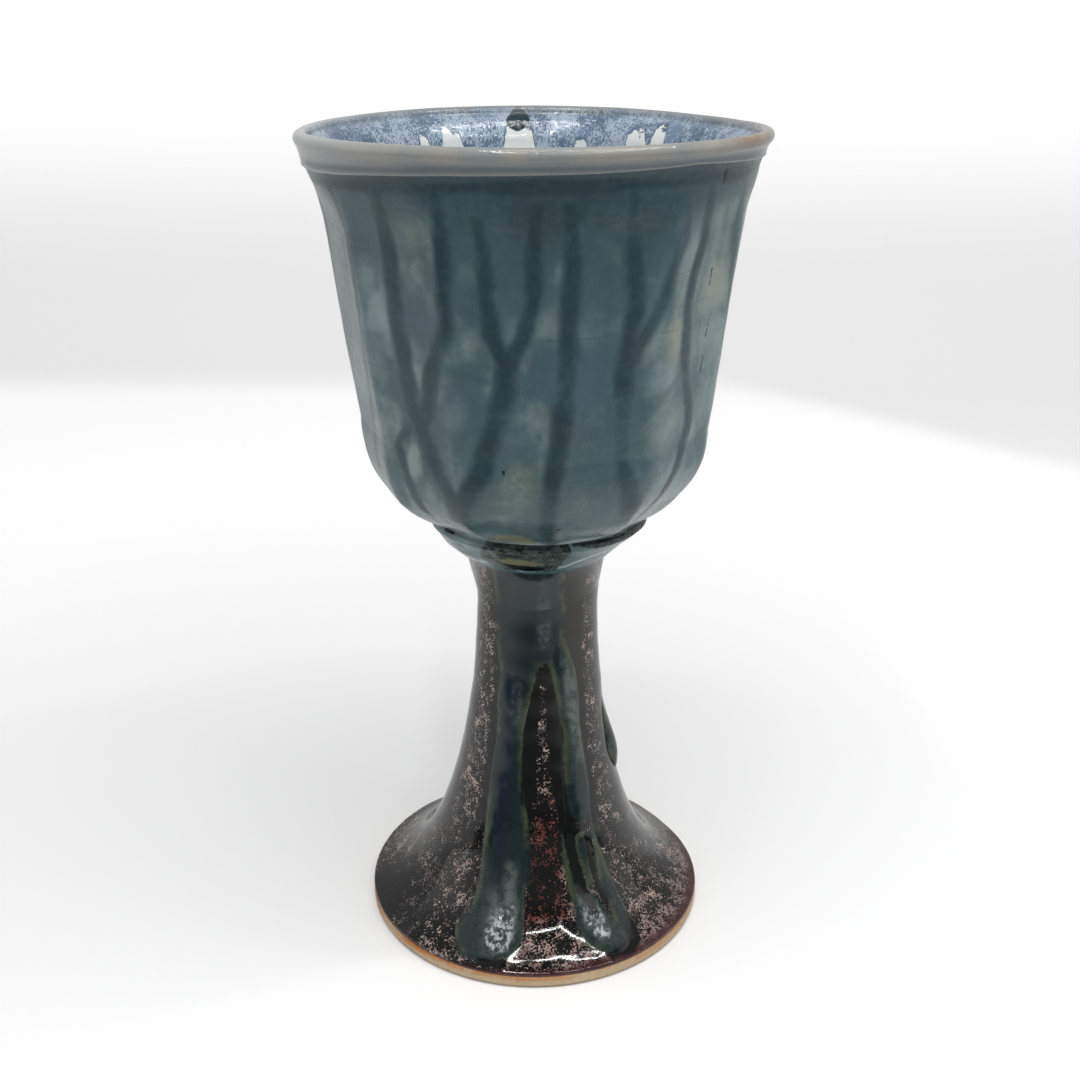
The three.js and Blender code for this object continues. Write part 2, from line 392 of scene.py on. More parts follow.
class Wiring:
    """Adds nodes to a tree and joins them."""

    def __init__(self, tree: NodeTree) -> None:
        """Starts on a tree."""
        self.tree = tree

    def add(self, kind: str, inputs: dict | None = None, **settings: object) -> Node:
        """Adds a node.

        Args:
            kind: Its type's name.
            inputs: Values or sockets for its inputs, by name or number.
            settings: Its own properties.

        Returns:
            The node.
        """
        node = self.tree.nodes.new(kind)
        for name, value in settings.items():
            setattr(node, name, value)
        for key, value in (inputs or {}).items():
            self.feed(node.inputs[key], value)
        return node

    def feed(self, socket: NodeSocket, value: object) -> None:
        """Links a socket to an input, or sets the input's own value."""
        if isinstance(value, NodeSocket):
            self.tree.links.new(value, socket)
        else:
            socket.default_value = value

    def math(self, operation: str, *values: object) -> NodeSocket:
        """The result of a Math node."""
        return self.add("ShaderNodeMath", dict(enumerate(values)), operation=operation).outputs[0]

    def times(self, first: object, second: object) -> NodeSocket:
        """A product."""
        return self.math("MULTIPLY", first, second)

    def plus(self, first: object, second: object) -> NodeSocket:
        """A sum."""
        return self.math("ADD", first, second)

    def minus(self, first: object, second: object) -> NodeSocket:
        """A difference."""
        return self.math("SUBTRACT", first, second)

    def over(self, first: object, second: object) -> NodeSocket:
        """A quotient."""
        return self.math("DIVIDE", first, second)

    def step(self, value: object, low: float, high: float) -> NodeSocket:
        """A smooth step of a value, from 0 at low to 1 at high."""
        inputs = {"Value": value, "From Min": low, "From Max": high}
        return self.add("ShaderNodeMapRange", inputs, interpolation_type="SMOOTHSTEP").outputs[0]

    def blend(self, share: object, first: object, second: object) -> NodeSocket:
        """A mix of two colours, each a socket or a hexadecimal code."""
        node = self.add("ShaderNodeMix", data_type="RGBA")
        factor, first_socket, second_socket = (node.inputs[number] for number in COLOUR_MIX_INPUTS)
        self.feed(factor, share)
        for socket, value in ((first_socket, first), (second_socket, second)):
            self.feed(socket, colour(value) if isinstance(value, str) else value)
        return node.outputs[COLOUR_MIX_RESULT]

    def attribute(self, name: str) -> NodeSocket:
        """A number that the mesh carries."""
        return self.add("ShaderNodeAttribute", attribute_name=name).outputs["Fac"]

    def noise(
        self, vector: object, scale: object, detail: float = 3.0, rough: float = 0.55
    ) -> NodeSocket:
        """The value of a Noise Texture."""
        inputs = {"Vector": vector, "Scale": scale, "Detail": detail, "Roughness": rough}
        return self.add("ShaderNodeTexNoise", inputs).outputs[0]


def new_group(
    name: str, kind: str, inputs: dict[str, tuple[str, float]], outputs: dict[str, str]
) -> tuple[NodeTree, Wiring, Sockets, Sockets]:
    """Starts a node group.

    Args:
        name: The group's name.
        kind: The type of its tree.
        inputs: Each input's socket type and first value.
        outputs: Each output's socket type.

    Returns:
        The tree, its wiring, the sockets that bring its inputs and those that take its outputs.
    """
    tree = bpy.data.node_groups.new(name, kind)
    for label, (socket, first) in inputs.items():
        made = tree.interface.new_socket(label, in_out="INPUT", socket_type="NodeSocket" + socket)
        if first is not None:
            made.default_value = first
    for label, socket in outputs.items():
        tree.interface.new_socket(label, in_out="OUTPUT", socket_type="NodeSocket" + socket)
    wiring = Wiring(tree)
    given = wiring.add("NodeGroupInput")
    return tree, wiring, given.outputs, wiring.add("NodeGroupOutput").inputs


def new_effect(
    name: str, output: str = "Mask", **numbers: float
) -> tuple[NodeTree, Wiring, Sockets, Sockets]:
    """Starts a shader group that reads a vector and numbers, and puts out one value.

    Args:
        name: The group's name.
        output: Its output's name.
        numbers: The first value of each number, by its input's name in lower case.

    Returns:
        The same as new_group.
    """
    inputs = {"Vector": ("Vector", None)}
    inputs |= {label.capitalize(): ("Float", first) for label, first in numbers.items()}
    return new_group(name, "ShaderNodeTree", inputs, {output: "Float"})


def row_value(wiring: Wiring, rows: object, row: object, name: str) -> NodeSocket:
    """The value that one row of the outline carries, read from a grid's point."""
    label = wiring.add("GeometryNodeInputNamedAttribute", {"Name": name}, data_type="FLOAT")
    inputs = {"Geometry": rows, "Value": label.outputs[0], "Index": row}
    return wiring.add("GeometryNodeSampleIndex", inputs, data_type="FLOAT").outputs[0]


def grid_on_rows(
    wiring: Wiring, rows: object, columns: object
) -> tuple[NodeSocket, NodeSocket, NodeSocket]:
    """A grid with a row for each point of the outline.

    Args:
        wiring: The tree's wiring.
        rows: The outline's geometry.
        columns: How many points each row has.

    Returns:
        The grid, and each point's column and row.
    """
    size = wiring.add("GeometryNodeAttributeDomainSize", {"Geometry": rows})
    count = size.outputs["Point Count"]
    grid = wiring.add("GeometryNodeMeshGrid", {"Vertices X": columns, "Vertices Y": count})
    index = wiring.add("GeometryNodeInputIndex").outputs[0]
    column = wiring.add("FunctionNodeIntegerMath", {0: index, 1: count}, operation="DIVIDE_FLOOR")
    row = wiring.add("FunctionNodeIntegerMath", {0: index, 1: count}, operation="MODULO")
    return grid.outputs["Mesh"], column.outputs[0], row.outputs[0]


def finish_grid(
    wiring: Wiring, grid: object, place: object, shows: object, merge: float, material: object
) -> NodeSocket:
    """Puts a grid's points in place, closes its seams and poles, and gives it its material.

    Args:
        wiring: The tree's wiring.
        grid: The grid's geometry.
        place: Each point's place.
        shows: Whether each point is on the surface that shows.
        merge: Points closer than this become one.
        material: The material.

    Returns:
        The finished geometry.
    """
    placed = wiring.add("GeometryNodeSetPosition", {"Geometry": grid, "Position": place})
    kept = wiring.add(
        "GeometryNodeStoreNamedAttribute",
        {"Geometry": placed.outputs[0], "Name": "shows", "Value": shows},
        data_type="FLOAT",
    )
    done = kept
    for kind, inputs in (
        ("GeometryNodeMergeByDistance", {"Distance": merge}),
        ("GeometryNodeSetShadeSmooth", {}),
        ("GeometryNodeRealizeInstances", {}),
        ("GeometryNodeSetMaterial", {"Material": material}),
    ):
        done = wiring.add(kind, {"Geometry": done.outputs[0]} | inputs)
    return done.outputs[0]


def polar(wiring: Wiring, radius: object, turn: object, height: object) -> NodeSocket:
    """The point at a radius, a turn from the front and a height."""
    x = wiring.times(radius, wiring.math("SINE", turn))
    y = wiring.times(wiring.times(radius, wiring.math("COSINE", turn)), -1.0)
    return wiring.add("ShaderNodeCombineXYZ", {"X": x, "Y": y, "Z": height}).outputs[0]


def turning_tree() -> NodeTree:
    """The tree that turns an outline and cuts its facets, flat between softened arrises."""
    inputs = {
        "Outline": ("Geometry", None),
        "Segments": ("Int", RING),
        "Facets": ("Int", FACETS),
        "First arris": ("Float", 0.0),
        "Arris softness": ("Float", 0.004),
        "Merge": ("Float", 1e-6),
        "Material": ("Material", None),
    }
    outputs = {"Piece": "Geometry"}
    tree, w, given, result = new_group("turned_and_faceted", "GeometryNodeTree", inputs, outputs)
    rows = given["Outline"]
    columns = w.add("FunctionNodeIntegerMath", {0: given["Segments"], 1: 1}, operation="ADD")
    grid, column, row = grid_on_rows(w, rows, columns.outputs[0])
    radius, height, faceting, arch, shows = (row_value(w, rows, row, name) for name in ROW_NAMES)

    whole = w.times(w.over(column, given["Segments"]), 2 * math.pi)
    facet = w.over(2 * math.pi, given["Facets"])
    half = w.math("COSINE", w.times(facet, 0.5))
    passed = w.over(w.minus(whole, given["First arris"]), facet)
    across = w.minus(passed, w.math("FLOOR", passed))

    def plane(shift: float) -> NodeSocket:
        """The share of the radius at which one facet's plane lies."""
        angle = w.times(w.minus(across, shift), facet)
        return w.over(half, w.math("COSINE", angle))

    softness = given["Arris softness"]
    flat = w.math("SMOOTH_MIN", plane(0.5), plane(-0.5), softness)
    flat = w.math("SMOOTH_MIN", flat, plane(1.5), softness)
    cut = w.plus(1.0, w.times(faceting, w.minus(flat, 1.0)))
    dip = w.times(w.times(across, w.minus(1.0, across)), 4.0)
    lifted = w.plus(height, w.times(arch, dip))
    place = polar(w, w.times(radius, cut), whole, lifted)
    done = finish_grid(w, grid, place, shows, given["Merge"], given["Material"])
    w.feed(result[0], done)
    return tree


def run_tree() -> NodeTree:
    """The tree that lays a rounded run of glaze along a line on the stem, with a flat underside."""
    inputs = {
        "Line": ("Geometry", None),
        "Columns": ("Int", 40),
        "Fullness": ("Float", 0.8),
        "Merge": ("Float", 1e-6),
        "Material": ("Material", None),
    }
    outputs = {"Piece": "Geometry"}
    tree, w, given, result = new_group("run_along_the_stem", "GeometryNodeTree", inputs, outputs)
    rows = given["Line"]
    across = given["Columns"]
    columns = w.add("FunctionNodeIntegerMath", {0: across, 1: 2, 2: 1}, operation="MULTIPLY_ADD")
    grid, column, row = grid_on_rows(w, rows, columns.outputs[0])
    numbers = (row_value(w, rows, row, name) for name in RUN_NAMES)
    radius, height, left, right, lift, slope, under = numbers

    loop = w.over(column, across)
    over = w.math("LESS_THAN", loop, 1.0001)
    share = w.math("PINGPONG", loop, 1.0)
    turn = w.plus(left, w.times(w.minus(right, left), share))
    offset = w.minus(w.times(share, 2.0), 1.0)
    round_top = w.minus(1.0, w.times(offset, offset))
    round_top = w.math("POWER", w.math("MAXIMUM", round_top, 0.0), given["Fullness"])
    raised = w.times(w.times(lift, round_top), over)
    sunk = w.times(under, w.minus(1.0, over))
    depth = w.minus(raised, sunk)
    steepness = w.math("SQRT", w.plus(1.0, w.times(slope, slope)))
    out = w.over(depth, steepness)
    place = polar(w, w.plus(radius, out), turn, w.minus(height, w.times(out, slope)))
    done = finish_grid(w, grid, place, over, given["Merge"], given["Material"])
    w.feed(result[0], done)
    return tree


def grown(
    name: str,
    rows: np.ndarray,
    names: tuple[str, ...],
    tree: NodeTree,
    settings: dict[str, object],
) -> Object:
    """Runs a tree on a column of rows and keeps its result as a plain mesh.

    Args:
        name: The piece's name.
        rows: The numbers of each row, in metres where they are lengths.
        names: The numbers' names.
        tree: The Geometry Nodes tree.
        settings: Values for its inputs, by name.

    Returns:
        The piece.
    """
    seedling = bpy.data.meshes.new(name)
    seedling.from_pydata([(0.0, 0.0, float(step)) for step in range(len(rows))], [], [])
    for number, label in enumerate(names):
        values = seedling.attributes.new(label, "FLOAT", "POINT")
        values.data.foreach_set("value", rows[:, number].astype(np.float32))
    piece = bpy.data.objects.new(name, seedling)
    bpy.context.scene.collection.objects.link(piece)
    modifier = piece.modifiers.new("shape", "NODES")
    modifier.node_group = tree
    for item in tree.interface.items_tree:
        if item.item_type == "SOCKET" and item.in_out == "INPUT" and item.name in settings:
            modifier[item.identifier] = settings[item.name]
    bpy.context.view_layer.update()
    evaluated = piece.evaluated_get(bpy.context.evaluated_depsgraph_get())
    mesh = bpy.data.meshes.new_from_object(evaluated)
    piece.modifiers.remove(modifier)
    piece.data = mesh
    bpy.data.meshes.remove(seedling)
    mesh.name = name
    if volume_of(mesh) < 0:
        mesh.flip_normals()
    return piece


def points_of(mesh: Mesh) -> np.ndarray:
    """A mesh's points in millimetres, one to a row."""
    flat = np.zeros(3 * len(mesh.vertices), np.float32)
    mesh.vertices.foreach_get("co", flat)
    return flat.reshape(-1, 3).astype(float) / MM


def place_points(mesh: Mesh, points: np.ndarray) -> None:
    """Moves a mesh's points to places in millimetres."""
    mesh.vertices.foreach_set("co", (points * MM).astype(np.float32).ravel())
    mesh.update()


def normals_of(mesh: Mesh) -> np.ndarray:
    """A mesh's point normals, one to a row."""
    flat = np.zeros(3 * len(mesh.vertices), np.float32)
    mesh.vertex_normals.foreach_get("vector", flat)
    return flat.reshape(-1, 3).astype(float)


def volume_of(mesh: Mesh) -> float:
    """The volume in a closed mesh, below 0 where its faces point inwards."""
    mesh.calc_loop_triangles()
    corners = np.zeros(3 * len(mesh.loop_triangles), np.int32)
    mesh.loop_triangles.foreach_get("vertices", corners)
    a, b, c = points_of(mesh)[corners.reshape(-1, 3).T]
    return float(np.einsum("ij,ij->", a, np.cross(b, c))) / 6.0


def carried(mesh: Mesh, name: str) -> np.ndarray:
    """The numbers that a mesh's points carry."""
    values = np.zeros(len(mesh.vertices), np.float32)
    mesh.attributes[name].data.foreach_get("value", values)
    return values.astype(float)


def read(mesh: Mesh) -> tuple[np.ndarray, Surface, np.ndarray]:
    """A mesh's points, where they lie on the goblet, and which of them show.

    The surface shares the points, so its heights follow them when they move.

    Args:
        mesh: The mesh.

    Returns:
        The points in millimetres, their surface, and 1 for each point that shows.
    """
    points = points_of(mesh)
    return points, Surface.of(points), carried(mesh, "shows")


def carry(mesh: Mesh, masks: dict[str, np.ndarray]) -> None:
    """Gives a mesh's points their masks, for its material to read."""
    for name, values in masks.items():
        layer = mesh.attributes.new(name, "FLOAT", "POINT")
        layer.data.foreach_set("value", values.astype(np.float32))
    mesh.update()


def bare(mesh: Mesh) -> dict[str, np.ndarray]:
    """The masks of clay with no orange flash and no painted contact shadow."""
    return {name: np.zeros(len(mesh.vertices)) for name in ("flash", "line")}


def settle(
    piece: Object,
    points: np.ndarray,
    masks: dict[str, np.ndarray],
    node: str,
) -> None:
    """Hands a piece over, a little out of true, with its masks and its CAD node.

    Args:
        piece: The piece.
        points: Where its points go, in millimetres.
        masks: What its material reads.
        node: The CAD node that it replaces.
    """
    mesh = piece.data
    place_points(mesh, points)
    carry(mesh, masks)
    points = points_of(mesh)
    points[:, 0] += np.interp(points[:, 2], *LEAN)
    dent = bump(DENT_TURN, DENT_REACH, turned_from(0.0, Surface.of(points).turn))
    dent = dent * smooth(*DENT_HEIGHTS, points[:, 2])
    points[:, :2] *= (1 - DENT_SHARE * dent)[:, None]
    place_points(mesh, points)
    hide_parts(node)
    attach(piece, "root")
    log.info("%s: %d faces, for %s", piece.name, len(mesh.polygons), node)


# Shared effects of the finishes


def colour(code: str) -> tuple[float, float, float, float]:
    """A shader's colour from a hexadecimal screen colour."""
    parts = [int(code[start : start + 2], 16) / 255 for start in (0, 2, 4)]
    linear = [
        part / 12.92 if part <= 0.04045 else ((part + 0.055) / 1.055) ** 2.4 for part in parts
    ]
    return (*linear, 1.0)


class Effects:
    """The shader node groups that several finishes share."""

    def __init__(self) -> None:
        """Builds each group once."""
        self.ragged = self.ragged_edge()
        self.flakes = self.flake_cover()
        self.rings = self.throwing_rings()
        self.clouds = self.cloud_mottle()
        self.pits = self.pit_holes()
        self.crackle = self.crackle_lines()

    @staticmethod
    def ragged_edge() -> NodeTree:
        """A crisp but uneven edge, from the distance to it in millimetres."""
        tree, w, given, result = new_effect(
            "ragged_edge", distance=0.0, raggedness=0.5, grain=900.0, softness=0.2
        )
        noise = w.noise(given["Vector"], given["Grain"], 4.0, 0.6)
        wander = w.times(w.minus(noise, 0.5), given["Raggedness"])
        moved = w.plus(given["Distance"], w.times(wander, 4.0))
        share = w.over(moved, given["Softness"])
        w.feed(result[0], w.step(share, -1.0, 1.0))
        return tree

    @staticmethod
    def flake_cover() -> NodeTree:
        """Small crystal flakes that lie thicker where their cover is higher, in loose drifts."""
        tree, w, given, result = new_effect("flake_cover", grain=1500.0, cover=0.5, drift=0.5)
        vector = given["Vector"]
        fine = w.noise(vector, given["Grain"], 2.0, 0.6)
        coarse = w.noise(vector, w.times(given["Grain"], 0.17), 3.0, 0.6)
        drift = w.times(w.minus(coarse, 0.5), given["Drift"])
        need = w.minus(0.74, w.times(given["Cover"], 0.3))
        level = w.minus(w.plus(fine, drift), need)
        w.feed(result[0], w.step(level, -0.012, 0.02))
        return tree

    @staticmethod
    def throwing_rings() -> NodeTree:
        """Fine level lines that a potter's fingers and the cutting wire leave."""
        tree, w, given, result = new_effect("throwing_rings", "Height", fineness=900.0)
        along = w.add("ShaderNodeCombineXYZ", {"X": 14.0, "Y": 14.0, "Z": given["Fineness"]})
        factors = {0: given["Vector"], 1: along.outputs[0]}
        spread = w.add("ShaderNodeVectorMath", factors, operation="MULTIPLY")
        w.feed(result[0], w.noise(spread.outputs[0], 1.0, 4.0, 0.6))
        return tree

    @staticmethod
    def cloud_mottle() -> NodeTree:
        """Soft clouds with a finer grain in them, from 0 to 1."""
        tree, w, given, result = new_effect("cloud_mottle", scale=120.0, grain=0.4)
        vector = given["Vector"]
        clouds = w.step(w.noise(vector, given["Scale"], 5.0, 0.55), 0.32, 0.68)
        grain = w.step(w.noise(vector, w.times(given["Scale"], 9.0), 3.0), 0.3, 0.7)
        lean = w.times(w.minus(grain, 0.5), given["Grain"])
        total = w.plus(clouds, lean)
        w.feed(result[0], w.add("ShaderNodeClamp", {0: total}).outputs[0])
        return tree

    @staticmethod
    def pit_holes() -> NodeTree:
        """A few pinholes, each a dark dot."""
        tree, w, given, result = new_effect("pit_holes", spacing=160.0, size=0.05)
        cell = w.add("ShaderNodeTexVoronoi", {"Vector": given["Vector"], "Scale": given["Spacing"]})
        chance = w.add("ShaderNodeSeparateColor", {0: cell.outputs["Color"]}).outputs[0]
        some = w.math("GREATER_THAN", chance, 0.72)
        size = w.times(given["Size"], chance)
        dot = w.math("LESS_THAN", cell.outputs["Distance"], size)
        w.feed(result[0], w.times(some, dot))
        return tree

    @staticmethod
    def crackle_lines() -> NodeTree:
        """Thin wandering cracks, the contour lines of a noise."""
        tree, w, given, result = new_effect("crackle_lines", scale=500.0, width=0.03)
        noise = w.noise(given["Vector"], given["Scale"], 3.0, 0.65)
        away = w.math("ABSOLUTE", w.minus(noise, 0.5))
        w.feed(result[0], w.step(w.over(away, given["Width"]), 1.0, 0.4))
        return tree


class Finish:
    """A material in the making: its tree, its Object coordinates and its shader."""

    def __init__(self, name: str, effects: Effects) -> None:
        """Starts the material."""
        self.material = bpy.data.materials.new(name)
        self.material.use_nodes = True
        self.effects = effects
        self.w = Wiring(self.material.node_tree)
        self.shader = self.material.node_tree.nodes["Principled BSDF"]
        self.place = self.w.add("ShaderNodeTexCoord").outputs["Object"]

    def effect(self, tree: NodeTree, **values: object) -> NodeSocket:
        """Places a shared group on the material's own coordinates.

        Args:
            tree: The group.
            values: Its inputs, by name in lower case.

        Returns:
            The group's output.
        """
        node = self.w.add("ShaderNodeGroup", node_tree=tree)
        self.w.feed(node.inputs["Vector"], self.place)
        for name, value in values.items():
            self.w.feed(node.inputs[name.capitalize()], value)
        return node.outputs[0]

    def drawn_out(self, tall: float) -> NodeSocket:
        """The coordinates scaled upwards: below 1 for upright marks, above 1 for level ones."""
        factors = {0: self.place, 1: (1.0, 1.0, tall)}
        return self.w.add("ShaderNodeVectorMath", factors, operation="MULTIPLY").outputs[0]

    def edge(
        self, name: str, raggedness: float, softness: float, grain: float = 900.0
    ) -> NodeSocket:
        """A mask from the distance that the mesh carries under a name."""
        return self.effect(
            self.effects.ragged,
            distance=self.w.attribute(name),
            raggedness=raggedness,
            softness=softness,
            grain=grain,
        )

    def clouds(self, scale: float, grain: float = 0.4) -> NodeSocket:
        """A soft mottle."""
        return self.effect(self.effects.clouds, scale=scale, grain=grain)

    def relief(self, *layers: tuple[object, float]) -> None:
        """Adds bump from height layers, each with its depth in metres."""
        total = None
        for height, depth in layers:
            part = self.w.times(height, depth)
            total = part if total is None else self.w.plus(total, part)
        bump_node = self.w.add("ShaderNodeBump", {"Height": total, "Distance": 1.0,
                                                  "Strength": 1.0})
        self.w.feed(self.shader.inputs["Normal"], bump_node.outputs[0])

    def surface(self, base: object, roughness: object, **plain: float) -> Material:
        """Sets the shader's colour, roughness and plain numbers.

        Args:
            base: The base colour.
            roughness: The roughness.
            plain: Other inputs, by name with underscores, as constants.

        Returns:
            The material.
        """
        self.w.feed(self.shader.inputs["Base Color"], base)
        self.w.feed(self.shader.inputs["Roughness"], roughness)
        for name, value in plain.items():
            self.shader.inputs[name.replace("_", " ")].default_value = value
        return self.material


@dataclass(frozen=True)
class BlueGreenGlaze:
    """The glaze of the bowl and the collar: blue-green, dark where thick, buff where thin, with
    painted shade and highlights.
    """

    plain: str = "475e60"
    blue: str = "435d67"
    murky: str = "33484f"
    pale: str = "8c9c97"
    frost: str = "8a9da1"
    breaking_and_sheen: str = "a9b7bc"
    # The pale of glaze breaking thin over edges, which also paints highlights.
    deep: str = "20373e"
    buff: str = "9a987a"
    line: str = "34464c"
    olive: str = "7c795b"
    ink: str = "06090a"
    murk: str = "333f3c"
    moss: str = "4a5651"
    roughness: float = 0.16

    def make(self, effects: Effects) -> Material:
        """Builds the material."""
        f = Finish("blue_green_glaze", effects)
        w = f.w
        clouds = f.clouds(80.0)
        sway = w.times(w.minus(clouds, 0.5), 0.3)
        broad = f.clouds(24.0, 0.1)
        rings = f.effect(effects.rings, fineness=850.0)
        fine = f.clouds(650.0, 0.6)
        runny = f.effect(effects.clouds, vector=f.drawn_out(0.2), scale=210.0, grain=0.3)
        base = w.blend(broad, self.plain, self.blue)
        base = w.blend(w.times(clouds, 0.3), base, self.murky)
        thin = w.step(w.plus(w.attribute("cell"), sway), 0.04, 1.0)
        base = w.blend(w.times(thin, 0.9), base, w.blend(broad, self.pale, self.frost))
        buff = w.times(w.attribute("buff"), w.step(clouds, -0.5, 0.9))
        base = w.blend(buff, base, self.buff)
        base = w.blend(w.attribute("shade"), base, self.murky)
        # Deep where the glaze pooled; the pool mask also paints shade under the liner's roll.
        pooled = w.step(w.plus(w.attribute("pool"), sway), 0.08, 1.0)
        base = w.blend(w.times(pooled, 0.92), base, self.deep)
        base = w.blend(w.times(w.step(rings, 0.38, 0.28), 0.35), base, self.line)
        base = w.blend(w.times(w.step(runny, 0.5, 1.0), 0.16), base, self.line)
        base = w.blend(w.times(w.step(fine, 0.55, 1.0), 0.03), base, self.frost)
        # Pale where the glaze breaks over the bowl's lower edge, with a painted reflection of the
        # floor there; on the collar, painted highlights.
        breaking_and_sheen = w.times(w.attribute("breaking_and_sheen"), w.step(clouds, -0.6, 0.8))
        base = w.blend(breaking_and_sheen, base, self.breaking_and_sheen)
        cracks = f.effect(effects.crackle, vector=f.drawn_out(2.4), scale=150.0, width=0.022)
        muddied = w.blend(w.step(fine, 0.2, 0.9), self.murk, self.moss)
        muddied = w.blend(cracks, muddied, self.ink)
        base = w.blend(f.edge("murk", 0.5, 0.3), base, muddied)
        base = w.blend(w.times(f.edge("olive", 0.3, 0.6), 0.7), base, self.olive)
        # Black ink marks; on the collar they include painted shadow in its crevice and notch.
        base = w.blend(f.edge("ink", 0.16, 0.12, 1400.0), base, self.ink)
        pits = f.effect(effects.pits, spacing=90.0, size=0.045)
        base = w.blend(w.times(pits, 0.7), base, self.ink)
        rough = w.plus(self.roughness, w.times(clouds, 0.07))
        f.relief((clouds, 0.00006), (rings, 0.00005), (fine, 0.000008), (pits, -0.0002))
        return f.surface(base, rough, IOR=1.48)


@dataclass(frozen=True)
class StemGlaze:
    """The stem's glaze and its runs: black-brown with pink and rust flakes, teal where it ran."""

    name: str
    roughness: float
    black: str = "08090b"
    brown: str = "1e1b19"
    flake: str = "b09a90"
    flake_grey: str = "857d7b"
    flake_dark: str = "5b4a45"
    rust: str = "65302a"
    teal: str = "0a1b1f"
    teal_pale: str = "182a2b"
    olive: str = "444b33"
    navy: str = "111b29"
    film: str = "687673"
    maroon: str = "3a120f"
    mauve: str = "927b78"
    ink: str = "050607"
    # The near-white of the painted glints on the drops.
    painted_glint_white: str = "b9c0c3"

    def make(self, effects: Effects) -> Material:
        """Builds the material."""
        f = Finish(self.name, effects)
        w = f.w
        clouds = f.clouds(110.0)
        fine = f.clouds(380.0, 0.5)
        base = w.blend(w.attribute("brown"), self.black, self.brown)
        flakes = f.effect(effects.flakes, grain=2350.0, cover=w.attribute("flake"), drift=0.7)
        tint = w.blend(w.step(clouds, 0.2, 0.8), self.flake_grey, self.flake)
        tint = w.blend(w.step(fine, 0.45, 0.85), tint, self.flake_dark)
        tint = w.blend(w.attribute("mauve"), tint, self.mauve)
        tint = w.blend(w.attribute("rust"), tint, self.rust)
        base = w.blend(flakes, base, tint)
        maroon = f.edge("maroon", 0.25, 0.5, 500.0)
        base = w.blend(w.times(maroon, 0.9), base, self.maroon)

        streaks = f.effect(effects.clouds, vector=f.drawn_out(0.15), scale=260.0, grain=0.5)
        ran = w.blend(w.times(streaks, 0.6), self.teal, self.teal_pale)
        ran = w.blend(w.attribute("navy"), ran, self.navy)
        rim = w.times(w.step(w.attribute("run"), 1.9, 0.3), w.step(clouds, 0.15, 0.85))
        ran = w.blend(w.times(rim, 0.75), ran, self.olive)
        # Pale film; on the drops it is a painted hazy reflection.
        ran = w.blend(w.times(w.attribute("pale"), w.step(fine, -0.2, 1.0)), ran, self.film)
        up = w.add("ShaderNodeSeparateXYZ", {0: f.place}).outputs["Z"]
        wrinkles = f.effect(effects.clouds, vector=f.drawn_out(0.45), scale=900.0, grain=0.6)
        # Painted glints: near-white flecks on the pale film of the drops, low on the stem.
        painted_glints = w.times(w.step(wrinkles, 0.58, 0.68), w.step(w.attribute("pale"), 0.2, 0.5))
        ran = w.blend(w.times(painted_glints, w.step(up, 0.013, 0.01)), ran, self.painted_glint_white)
        base = w.blend(f.edge("run", 0.32, 0.35, 650.0), base, ran)
        # Black ink in the runs, with painted shade along the drops' lower edges.
        base = w.blend(f.edge("ink", 0.3, 0.2, 900.0), base, self.ink)
        rough = w.plus(self.roughness, w.times(w.step(up, 0.05, 0.085), 0.05))
        ripples = w.times(w.step(up, 0.024, 0.014), wrinkles)
        ripples = w.times(ripples, w.step(w.attribute("run"), 0.3, 1.6))
        f.relief((clouds, 0.000008), (ripples, 0.00006))
        return f.surface(base, rough, IOR=1.52)


@dataclass(frozen=True)
class LinerGlaze:
    """The liner glaze: white, with blue crystals above its tongues, and greyish over the lip."""

    white: str = "d0d4d3"
    blue: str = "4f6177"
    dusk: str = "6f8398"
    frost: str = "a9b6c3"
    rim: str = "40576a"
    lip: str = "8b8982"
    lip_blue: str = "767f85"
    lip_pale: str = "bfc3c5"
    stain: str = "84705a"
    teal: str = "1e3238"
    shade: str = "4c5a64"
    roughness: float = 0.05

    def make(self, effects: Effects) -> Material:
        """Builds the material."""
        f = Finish("liner_glaze", effects)
        w = f.w
        upright = f.drawn_out(0.4)
        crystals = f.effect(effects.flakes, vector=upright, grain=2900.0,
                            cover=w.attribute("frost"), drift=0.55)
        clouds = f.clouds(120.0)
        blue = w.blend(w.times(clouds, 0.8), self.blue, self.dusk)
        base = w.blend(w.times(crystals, 0.75), blue, self.frost)
        base = w.blend(w.times(w.step(w.attribute("tongue"), -2.2, -0.3), 0.7), base, self.rim)
        tongue = f.edge("tongue", 1.1, 0.2, 600.0)
        base = w.blend(tongue, base, self.white)
        base = w.blend(f.edge("drip", 0.3, 0.2, 700.0), base, self.teal)
        rim = w.blend(w.times(clouds, 0.7), self.lip, self.lip_blue)
        rim = w.blend(w.times(w.attribute("stain"), w.step(clouds, 0.0, 0.9)), rim, self.stain)
        rim = w.blend(w.times(w.attribute("pale"), 0.75), rim, self.lip_pale)
        base = w.blend(w.attribute("lip"), base, rim)
        base = w.blend(w.attribute("shade"), base, self.shade)
        rough = w.plus(self.roughness, w.times(crystals, 0.05))
        f.relief((clouds, 0.00005), (crystals, 0.000006))
        return f.surface(base, rough, IOR=1.5)


